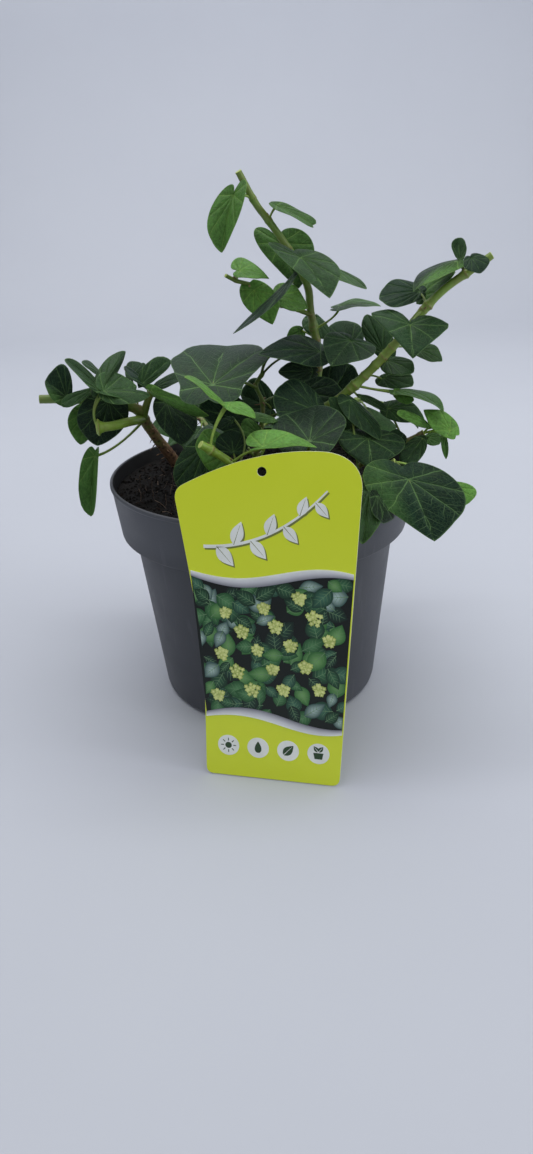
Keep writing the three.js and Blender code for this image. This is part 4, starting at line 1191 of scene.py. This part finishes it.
def crumb_tree():
    """Geometry Nodes that strew crumbs and short fibres over the upward faces of the soil."""
    tree, nodes, given, result = node_group(
        "soil_crumbs",
        "GeometryNodeTree",
        [("Soil", "NodeSocketGeometry", None), ("Crumbs per square metre", "NodeSocketFloat", 100000.0),
         ("Fibres per square metre", "NodeSocketFloat", 38000.0), ("Seed", "NodeSocketInt", SEED)],
        [("Crumbs", "NodeSocketGeometry")],
    )
    normal = nodes.add("GeometryNodeInputNormal").outputs[0]
    position = nodes.add("GeometryNodeInputPosition").outputs[0]
    upward = nodes.add("ShaderNodeSeparateXYZ", {0: normal}).outputs[2]
    height = nodes.add("ShaderNodeSeparateXYZ", {0: position}).outputs[2]
    flat = nodes.add("ShaderNodeVectorMath", {0: position, 1: (1, 1, 0)}, operation="MULTIPLY")
    reach = nodes.add("ShaderNodeVectorMath", {0: flat.outputs[0]}, operation="LENGTH").outputs["Value"]
    top = nodes.times(nodes.math("GREATER_THAN", upward, 0.3), nodes.math("GREATER_THAN", height, 0.11))

    def strewn(density, shape, low, high, seed_shift, edge, tones):
        inside = nodes.times(top, nodes.math("LESS_THAN", reach, edge))
        spots = nodes.add("GeometryNodeDistributePointsOnFaces", {"Mesh": given["Soil"], "Selection": inside})
        nodes.feed(spots.inputs["Density"], density)
        nodes.feed(spots.inputs["Seed"], nodes.plus(given["Seed"], seed_shift))
        turn = nodes.add("FunctionNodeRandomValue", {"Max": (6.28, 6.28, 6.28)}, data_type="FLOAT_VECTOR")
        size = nodes.add("FunctionNodeRandomValue", {"Min": low, "Max": high}, data_type="FLOAT_VECTOR")
        tone = nodes.add("FunctionNodeRandomValue", {2: tones[0], 3: tones[1]}, data_type="FLOAT")
        for index, node in enumerate((turn, size, tone)):
            nodes.feed(node.inputs["Seed"], nodes.plus(given["Seed"], seed_shift + 10.0 * index))
        placed = nodes.add(
            "GeometryNodeInstanceOnPoints",
            {"Points": spots.outputs["Points"], "Instance": shape, "Rotation": turn.outputs[0],
             "Scale": size.outputs[0]},
        )
        stored = nodes.add(
            "GeometryNodeStoreNamedAttribute",
            {"Geometry": placed.outputs[0], "Name": "chance"},
            data_type="FLOAT",
            domain="INSTANCE",
        )
        nodes.feed(stored.inputs["Value"], tone.outputs[1])
        return stored.outputs[0]

    lump = nodes.add("GeometryNodeMeshIcoSphere", {"Radius": CRUMB_RADIUS, "Subdivisions": 2}).outputs[0]
    path = nodes.add("GeometryNodeCurvePrimitiveBezierSegment", {"Resolution": 5})
    bends = {
        "Start": (-1, 0, 0), "Start Handle": (-0.4, 0.5, 0.1),
        "End Handle": (0.3, -0.5, 0.2), "End": (1, 0.1, 0),
    }
    for label, place in bends.items():
        nodes.feed(path.inputs[label], tuple(FIBRE_REACH * part for part in place))
    ring = nodes.add("GeometryNodeCurvePrimitiveCircle", {"Resolution": 4, "Radius": FIBRE_RADIUS}).outputs[0]
    fibre = nodes.add(
        "GeometryNodeCurveToMesh", {"Curve": path.outputs[0], "Profile Curve": ring, "Fill Caps": True}
    )
    crumbs = strewn(given[1], lump, (0.3, 0.3, 0.25), (1.7, 1.2, 1.0), 1.0, 0.079, (0.0, 0.8))
    fibres = strewn(given[2], fibre.outputs[0], (0.3, 0.6, 0.6), (1.4, 1.1, 1.1), 2.0, 0.07, (0.5, 1.4))
    joined = nodes.add("GeometryNodeJoinGeometry")
    nodes.tree.links.new(crumbs, joined.inputs[0])
    nodes.tree.links.new(fibres, joined.inputs[0])
    whole = nodes.add("GeometryNodeRealizeInstances", {"Geometry": joined.outputs[0]}).outputs[0]
    jitter = nodes.add("ShaderNodeTexNoise", {"Vector": position, "Scale": 900.0, "Detail": 1.0})
    offset = nodes.add("ShaderNodeVectorMath", {0: jitter.outputs["Color"]}, operation="MULTIPLY_ADD")
    offset.inputs[1].default_value = (0.0009, 0.0009, 0.0009)
    offset.inputs[2].default_value = (-0.00045, -0.00045, -0.00045)
    rough = nodes.add("GeometryNodeSetPosition", {"Geometry": whole, "Offset": offset.outputs[0]}).outputs[0]
    painted = nodes.add("GeometryNodeSetMaterial", {"Geometry": rough, "Material": SOIL})
    nodes.feed(result[0], painted.outputs[0])
    return tree


def potting_soil():
    body = soil_body()
    bed = link(bpy.data.objects.new("soil_bed", body.data.copy()))
    crumbs = through_tree(bed, crumb_tree(), "soil_crumbs")
    settle(body, "potting_soil", "potting_soil")
    settle(crumbs, "potting_soil", "potting_soil")


# Care label


def label_matrix():
    """From the upright card, with its foot's left corner at the origin, to its place on the pot."""
    turn = Matrix.Rotation(math.radians(LABEL_TURN), 4, "Z")
    lean = Matrix.Rotation(math.radians(90 - LABEL_LEAN), 4, "X")
    place = Matrix.Translation((LABEL_FOOT[0] * MM, LABEL_FOOT[1] * MM, 0))
    return place @ turn @ lean @ Matrix.Scale(MM, 4)


def bezier(start, *rest, steps=14):
    """Points after the start of a quadratic or cubic curve."""
    controls = [np.array(point, float) for point in (start, *rest)]
    points = []
    for share in np.linspace(0, 1, steps + 1)[1:]:
        level = controls
        while len(level) > 1:
            level = [a + (b - a) * share for a, b in zip(level, level[1:])]
        points.append(tuple(level[0]))
    return points


def card_outline():
    points = [(3, 0), (64, 0)]
    points += bezier((64, 0), (68.4, 0), (68.6, 4.5), steps=8)
    points.append((75.9, 151))
    points += bezier((75.9, 151), (76.2, 161), (69, 168), (56, 168), steps=20)
    points += bezier((56, 168), (34, 168.5), (12, 162), (-9.5, 150.8), steps=24)
    points += bezier((-9.5, 150.8), (-14.2, 148.6), (-13.8, 143.5), steps=8)
    points += bezier((-13.8, 143.5), (-8.5, 112), (-1, 75), (-1, 40), steps=24)
    points.append((-1, 4))
    points += bezier((-1, 4), (-1, 0), (3, 0), steps=6)[:-1]
    return points


def care_label():
    """The punched card, with rounded edges."""
    line = bpy.data.curves.new("card_line", "CURVE")
    line.dimensions = "2D"
    line.fill_mode = "BOTH"
    line.extrude = LABEL_THICKNESS / 2 - CARD_BEVEL
    line.bevel_depth = CARD_BEVEL
    line.bevel_resolution = 2
    line.offset = -CARD_BEVEL
    for points in (card_outline(), circle(LABEL_HOLE, LABEL_HOLE_RADIUS, 40)):
        spline = line.splines.new("POLY")
        spline.points.add(len(points) - 1)
        for knot, (x, y) in zip(spline.points, points):
            knot.co = (x, y, 0, 1)
        spline.use_cyclic_u = True
    card = baked(link(bpy.data.objects.new("card_line", line)), "care_label_card")
    card.data.transform(label_matrix() @ Matrix.Translation((0, 0, LABEL_THICKNESS / 2)))
    card.data.materials.clear()
    for material in (LABEL_CARD, LABEL_CORE):
        card.data.materials.append(material)
    facing = (label_matrix().to_3x3() @ Vector((0, 0, 1))).normalized()
    for face in card.data.polygons:
        face.material_index = int(abs(face.normal.dot(facing)) < 0.9)
    return settle(card, "label_card", "care_label")


class Print:
    """Thin closed plates of printed ink on the card, each with its own colour and layer."""

    def __init__(self):
        self.points = []
        self.faces = []
        self.inks = []
        self.level = LABEL_THICKNESS
        self.limit = None

    def plate(self, flat, faces, inks):
        """A plate from flat points, faces turned anticlockwise, and one ink for all or for each point."""
        if self.limit:
            flat = [self.limit(*point) for point in flat]
        start = len(self.points)
        count = len(flat)
        self.points += [(x, y, self.level + INK_HEIGHT) for x, y in flat]
        self.points += [(x, y, LABEL_THICKNESS - INK_SINK) for x, y in flat]
        edges = {}
        for face in faces:
            self.faces.append(tuple(start + corner for corner in face))
            self.faces.append(tuple(start + count + corner for corner in reversed(face)))
            for a, b in zip(face, (*face[1:], face[0])):
                edges[(a, b)] = True
        for a, b in edges:
            if (b, a) not in edges:
                self.faces.append((start + b, start + a, start + count + a, start + count + b))
        if not isinstance(inks, list):
            inks = [inks] * count
        self.inks += inks * 2

    def star(self, centre, outline, ink, inner=None):
        """A plate around a centre that sees its whole outline."""
        count = len(outline)
        faces = [(count, i, (i + 1) % count) for i in range(count)]
        self.plate([*outline, centre], faces, [ink] * count + [inner or ink])

    def disc(self, centre, radius, ink):
        self.star(centre, circle(centre, radius, 36), ink)

    def band(self, lower, upper, inks_low, inks_high=None):
        """A plate between two lines of as many points, from left to right."""
        count = len(lower)
        faces = [(i, i + 1, count + i + 1, count + i) for i in range(count - 1)]
        high = inks_high or inks_low
        self.plate([*lower, *upper], faces, [inks_low] * count + [high] * count)

    def ribbon(self, line, widths, ink):
        """A drawn line whose width changes evenly between the two widths."""
        line = np.array(line, float)
        ways = np.gradient(line, axis=0)
        ways /= np.linalg.norm(ways, axis=1, keepdims=True)
        half = np.linspace(widths[0], widths[1], len(line))[:, None] / 2
        aside = np.stack([-ways[:, 1], ways[:, 0]], axis=1) * half
        self.band([tuple(p) for p in line - aside], [tuple(p) for p in line + aside], ink)

    def leaf(self, base, tip, width, ink, rib, inner=None, veins=0):
        """A plain pointed oval leaf with its middle rib, and with side veins where asked."""
        base, tip = np.array(base, float), np.array(tip, float)
        along = tip - base
        aside = np.array([-along[1], along[0]]) * width
        shares = np.linspace(0, 1, 11)
        swell = np.sin(math.pi * shares**0.8)
        right = [tuple(base + along * s - aside * w) for s, w in zip(shares, swell)]
        left = [tuple(base + along * s + aside * w) for s, w in zip(shares, swell)][1:-1]
        self.star(tuple(base + along * 0.45), right + left[::-1], ink, inner)
        self.level += INK_STEP
        self.ribbon([base + along * s for s in (0, 0.4, 0.85)], (0.35, 0.12), rib)
        for step in range(veins):
            start = base + along * (0.12 + 0.6 * step / veins)
            for side in (-1, 1):
                self.ribbon([start, start + 0.16 * along + side * 0.62 * aside], (0.2, 0.08), rib)
        self.level += INK_STEP

    def blossom(self, centre, radius, turn, ink, heart):
        """A small flower with five rounded petals."""
        turns = np.arange(25) * 2 * math.pi / 25
        reach = radius * (0.62 + 0.38 * np.abs(np.cos(2.5 * (turns + turn))))
        self.star(tuple(centre), circle(centre, reach, len(turns)), ink, heart)
        self.level += INK_STEP


def left_edge(height):
    """The card's left edge at a height."""
    outline = [point for point in card_outline() if point[0] < 5 and 1 < point[1] < 148]
    outline.sort(key=lambda point: point[1])
    return float(np.interp(height, [point[1] for point in outline], [point[0] for point in outline]))


def right_edge(height):
    return 68.6 + (height - 4.5) * 7.3 / 146.5


def panel_wave(base, swing, shift, tilt):
    """A waved line across the card, from margin to margin."""
    line = []
    for share in PANEL_SHARES:
        height = base + swing * math.sin(2 * math.pi * (0.75 * share + shift)) + tilt * share
        left, right = left_edge(height) + PANEL_MARGIN, right_edge(height) - PANEL_MARGIN
        line.append((left + (right - left) * share, height))
    return line


def print_panel(sheet, panel_low, panel_high, dice):
    """The dark panel between two lines, filled with drawn leaves and clusters of small flowers."""
    sheet.band(panel_low, panel_high, colour(16, 26, 22), colour(10, 18, 16))
    low, high = np.array(panel_low), np.array(panel_high)
    inks = [
        colour(34, 80, 44), colour(18, 48, 32), colour(50, 104, 52), colour(50, 82, 76),
        colour(28, 64, 48), colour(14, 34, 27), colour(22, 54, 38),
    ]
    glints = [
        colour(84, 136, 88), colour(50, 92, 64), colour(118, 166, 100), colour(176, 200, 194),
        colour(70, 116, 94), colour(40, 72, 58), colour(62, 112, 76),
    ]
    petals = (colour(176, 192, 96), colour(198, 212, 124), colour(150, 170, 76))

    def within_panel(x, y):
        y = float(np.clip(y, np.interp(x, low[:, 0], low[:, 1]), np.interp(x, high[:, 0], high[:, 1])))
        return float(np.clip(x, left_edge(y) + PANEL_MARGIN, right_edge(y) - PANEL_MARGIN)), y

    def spot(share, rise):
        index = int(share * (len(PANEL_SHARES) - 1))
        return low[index] + (high[index] - low[index]) * rise

    sheet.limit = within_panel
    sheet.level += LAYER_STEP
    for _ in range(PANEL_LEAVES):
        base = spot(dice.uniform(0.02, 0.98), dice.uniform(0.02, 0.98))
        turn = dice.uniform(0, 2 * math.pi)
        tip = base + dice.uniform(8, 14) * np.array([math.cos(turn), math.sin(turn)])
        tone = dice.randrange(len(inks))
        sheet.leaf(base, tip, dice.uniform(0.27, 0.4), inks[tone], colour(104, 138, 100), glints[tone], 4)
    for step in range(PANEL_FLOWERS):
        column = (step * 5) % PANEL_FLOWERS
        share = (column + 0.5) / PANEL_FLOWERS * 0.84 + 0.08
        centre = spot(share, (step + 0.5) / PANEL_FLOWERS * 0.8 + 0.1)
        spread = dice.uniform(2.4, 3.8)
        for bloom in range(FLOWER_BLOOMS):
            angle = 2.4 * bloom
            away = spread * math.sqrt(bloom / FLOWER_BLOOMS)
            place = centre + away * np.array([math.cos(angle), math.sin(angle)])
            size = dice.uniform(1.1, 1.7)
            ink = dice.choice(petals)
            sheet.blossom(place, size, dice.uniform(0, 1), ink, colour(228, 232, 160))
    sheet.limit = None


def print_waves(sheet, panel_low, panel_high):
    """A silver wave along both edges of the panel, lightest where it meets the card."""
    layers = ((-0.4, 0, colour(126, 128, 138)), (1.1, 1.2, colour(206, 208, 214)), (2.2, 2.4, WHITE_INK))
    for line, way in ((panel_low, -1), (panel_high, 1)):
        lines = []
        for rise, swell, ink in layers:
            lifts = [way * (rise + swell * math.sin(math.pi * share)) for share in PANEL_SHARES]
            lines.append(([(x, y + lift) for (x, y), lift in zip(line, lifts)], ink))
        for pair in zip(lines, lines[1:]):
            (lower, low_ink), (upper, high_ink) = pair[::way]
            sheet.band(lower, upper, low_ink, high_ink)


def print_twig(sheet):
    """A leafy white twig over its own shadow."""
    shadow = colour(118, 126, 66)
    twig = [(0, 121), *bezier((0, 121), (22, 121), (42, 130), (60, 150), steps=30)]
    for shift, ink, level in (((0.7, -0.8), shadow, LAYER_STEP), ((0, 0), WHITE_INK, 0.05)):
        sheet.level = LABEL_THICKNESS + level
        moved = [np.array(point) + shift for point in twig]
        sheet.ribbon(moved, (1.7, 0.8), ink)
        for index in range(3, 30, 4):
            side = 1 if (index // 4) % 2 else -1
            way = np.array([0.55, 0.0]) + side * np.array([-0.25, 0.9])
            tip = moved[index] + (13 - index * 0.14) * unit(way)
            sheet.leaf(moved[index], tip, 0.27, ink, shadow)


def sun_sign(sheet, centre, mark):
    sheet.disc(centre, 1.7, mark)
    for ray in range(8):
        angle = math.pi * ray / 4
        way = np.array([math.cos(angle), math.sin(angle)])
        sheet.ribbon([centre + 2.5 * way, centre + 4 * way], (0.55, 0.4), mark)


def drop_sign(sheet, centre, mark):
    x, y = centre
    turns = np.linspace(0, 2 * math.pi, 30)[:-1]
    drop = [(x + 2.3 * math.sin(t) * math.sin(t / 2), y + 0.4 + 3.2 * math.cos(t)) for t in turns]
    sheet.star((x, y - 0.8), drop[::-1], mark)


def leaf_sign(sheet, centre, mark):
    x, y = centre
    sheet.leaf((x - 2.4, y - 2.6), (x + 2.8, y + 3), 0.3, mark, WHITE_INK)


def pot_sign(sheet, centre, mark):
    x, y = centre
    sheet.band([(x - 1.9, y - 3), (x + 1.9, y - 3)], [(x - 2.6, y + 0.4), (x + 2.6, y + 0.4)], mark)
    for side in (1, -1):
        sheet.leaf((x, y + 0.9), (x + side * 2.4, y + 4), 0.3, mark, WHITE_INK)


def label_print(dice):
    """A made-up plant label: a foliage panel between two silver waves, a sprig above and care signs below."""
    sheet = Print()
    panel_low = panel_wave(33, 4.5, 0.05, 2)
    panel_high = panel_wave(108, 5, 0.55, -4)
    print_panel(sheet, panel_low, panel_high, dice)
    sheet.level += 0.01
    print_waves(sheet, panel_low, panel_high)
    print_twig(sheet)
    sheet.level = LABEL_THICKNESS + LAYER_STEP
    for index, sign in enumerate((sun_sign, drop_sign, leaf_sign, pot_sign)):
        centre = (11 + 15.5 * index, 17)
        sheet.disc(centre, 5.6, WHITE_INK)
        sheet.level += LAYER_STEP
        sign(sheet, centre, colour(46, 74, 44))
        sheet.level -= LAYER_STEP
    piece = mesh_object("care_label_print", sheet.points, sheet.faces, (LABEL_INK,), smooth=False)
    piece.data.transform(label_matrix())
    layer = piece.data.color_attributes.new("ink", "FLOAT_COLOR", "POINT")
    layer.data.foreach_set("color", np.array(sheet.inks, np.float32).ravel())
    return settle(piece, "label_card")


# Stage, light and camera


def stage():
    """A pale sweep: floor, curve and wall in one sheet."""
    front, start, bend, top, half_width = -3.5, 1.2, 0.6, 3.0, 4.0
    turns = np.linspace(0, math.pi / 2, 20)
    line = [(front, 0.0)]
    line += [(start + bend * math.sin(turn), bend - bend * math.cos(turn)) for turn in turns]
    line.append((start + bend, top))
    points = [(x, y, z - 0.0004) for y, z in line for x in (-half_width, half_width)]
    faces = [(2 * i, 2 * i + 1, 2 * i + 3, 2 * i + 2) for i in range(len(line) - 1)]
    material, nodes, shader = finished_material("pale_sweep", 0.85)
    place = object_place(nodes)
    grain = nodes.group(GRAIN, {"Place": place, "Fine": 300.0, "Broad": 3.0})
    shade = nodes.times(grain["Blotch"], 0.25)
    nodes.feed(shader["Base Color"], nodes.blend(shade, colour(190, 194, 204), colour(182, 186, 197)))
    mesh_object("pale_sweep", points, faces, (material,))


def area_light(name, place, aim, size, power, tint):
    light = bpy.data.lights.new(name, "AREA")
    light.shape = "RECTANGLE"
    light.size, light.size_y = size
    light.energy = power
    light.color = tint
    lamp = bpy.data.objects.new(name, light)
    lamp.location = place
    lamp.rotation_euler = (Vector(aim) - Vector(place)).to_track_quat("-Z", "Y").to_euler()
    link(lamp)


def studio_light():
    world = bpy.data.worlds.new("soft_room")
    world.use_nodes = True
    world.node_tree.nodes["Background"].inputs["Color"].default_value = (0.89, 0.93, 1.0, 1)
    world.node_tree.nodes["Background"].inputs["Strength"].default_value = 0.29
    bpy.context.scene.world = world
    bpy.context.scene.view_settings.view_transform = "Standard"
    area_light("overhead_softbox", (0.02, 0.08, 1.5), (0, 0.05, 0.1), (2.3, 1.9), 18, (1.0, 0.99, 0.97))
    area_light("front_softbox", (-0.5, -1.7, 1.2), (0, 0, 0.15), (1.2, 0.9), 3, (0.98, 0.99, 1.0))
    area_light("side_softbox", (1.5, -0.5, 0.5), (0, 0, 0.1), (0.8, 1.2), 10, (0.98, 0.99, 1.0))
    area_light("wall_softbox", (0, 0.55, 1.9), (0, 1.8, 0.35), (3.0, 0.5), 19, (1.0, 1.0, 1.0))


def camera():
    lens = bpy.data.cameras.new("photo_camera")
    lens.sensor_fit = "AUTO"
    lens.sensor_width = SENSOR
    lens.lens = SENSOR * FOCAL_PIXELS / PHOTO_HEIGHT
    view = bpy.data.objects.new("photo_camera", lens)
    down = math.radians(90 - CAMERA_DOWN)
    aim = Matrix.Rotation(down, 4, "X") @ Matrix.Rotation(math.radians(CAMERA_ROLL), 4, "Z")
    place = Matrix.Translation([part * MM for part in CAMERA_PLACE])
    view.matrix_world = place @ aim
    link(view)
    bpy.context.scene.camera = view


stage()
studio_light()
camera()
nursery_pot()
potting_soil()
care_label()
label_print(random.Random(SEED))
for stem_name, stem_branches in STEMS.items():
    leafy_stem(stem_name, stem_branches, random.Random(stem_name))
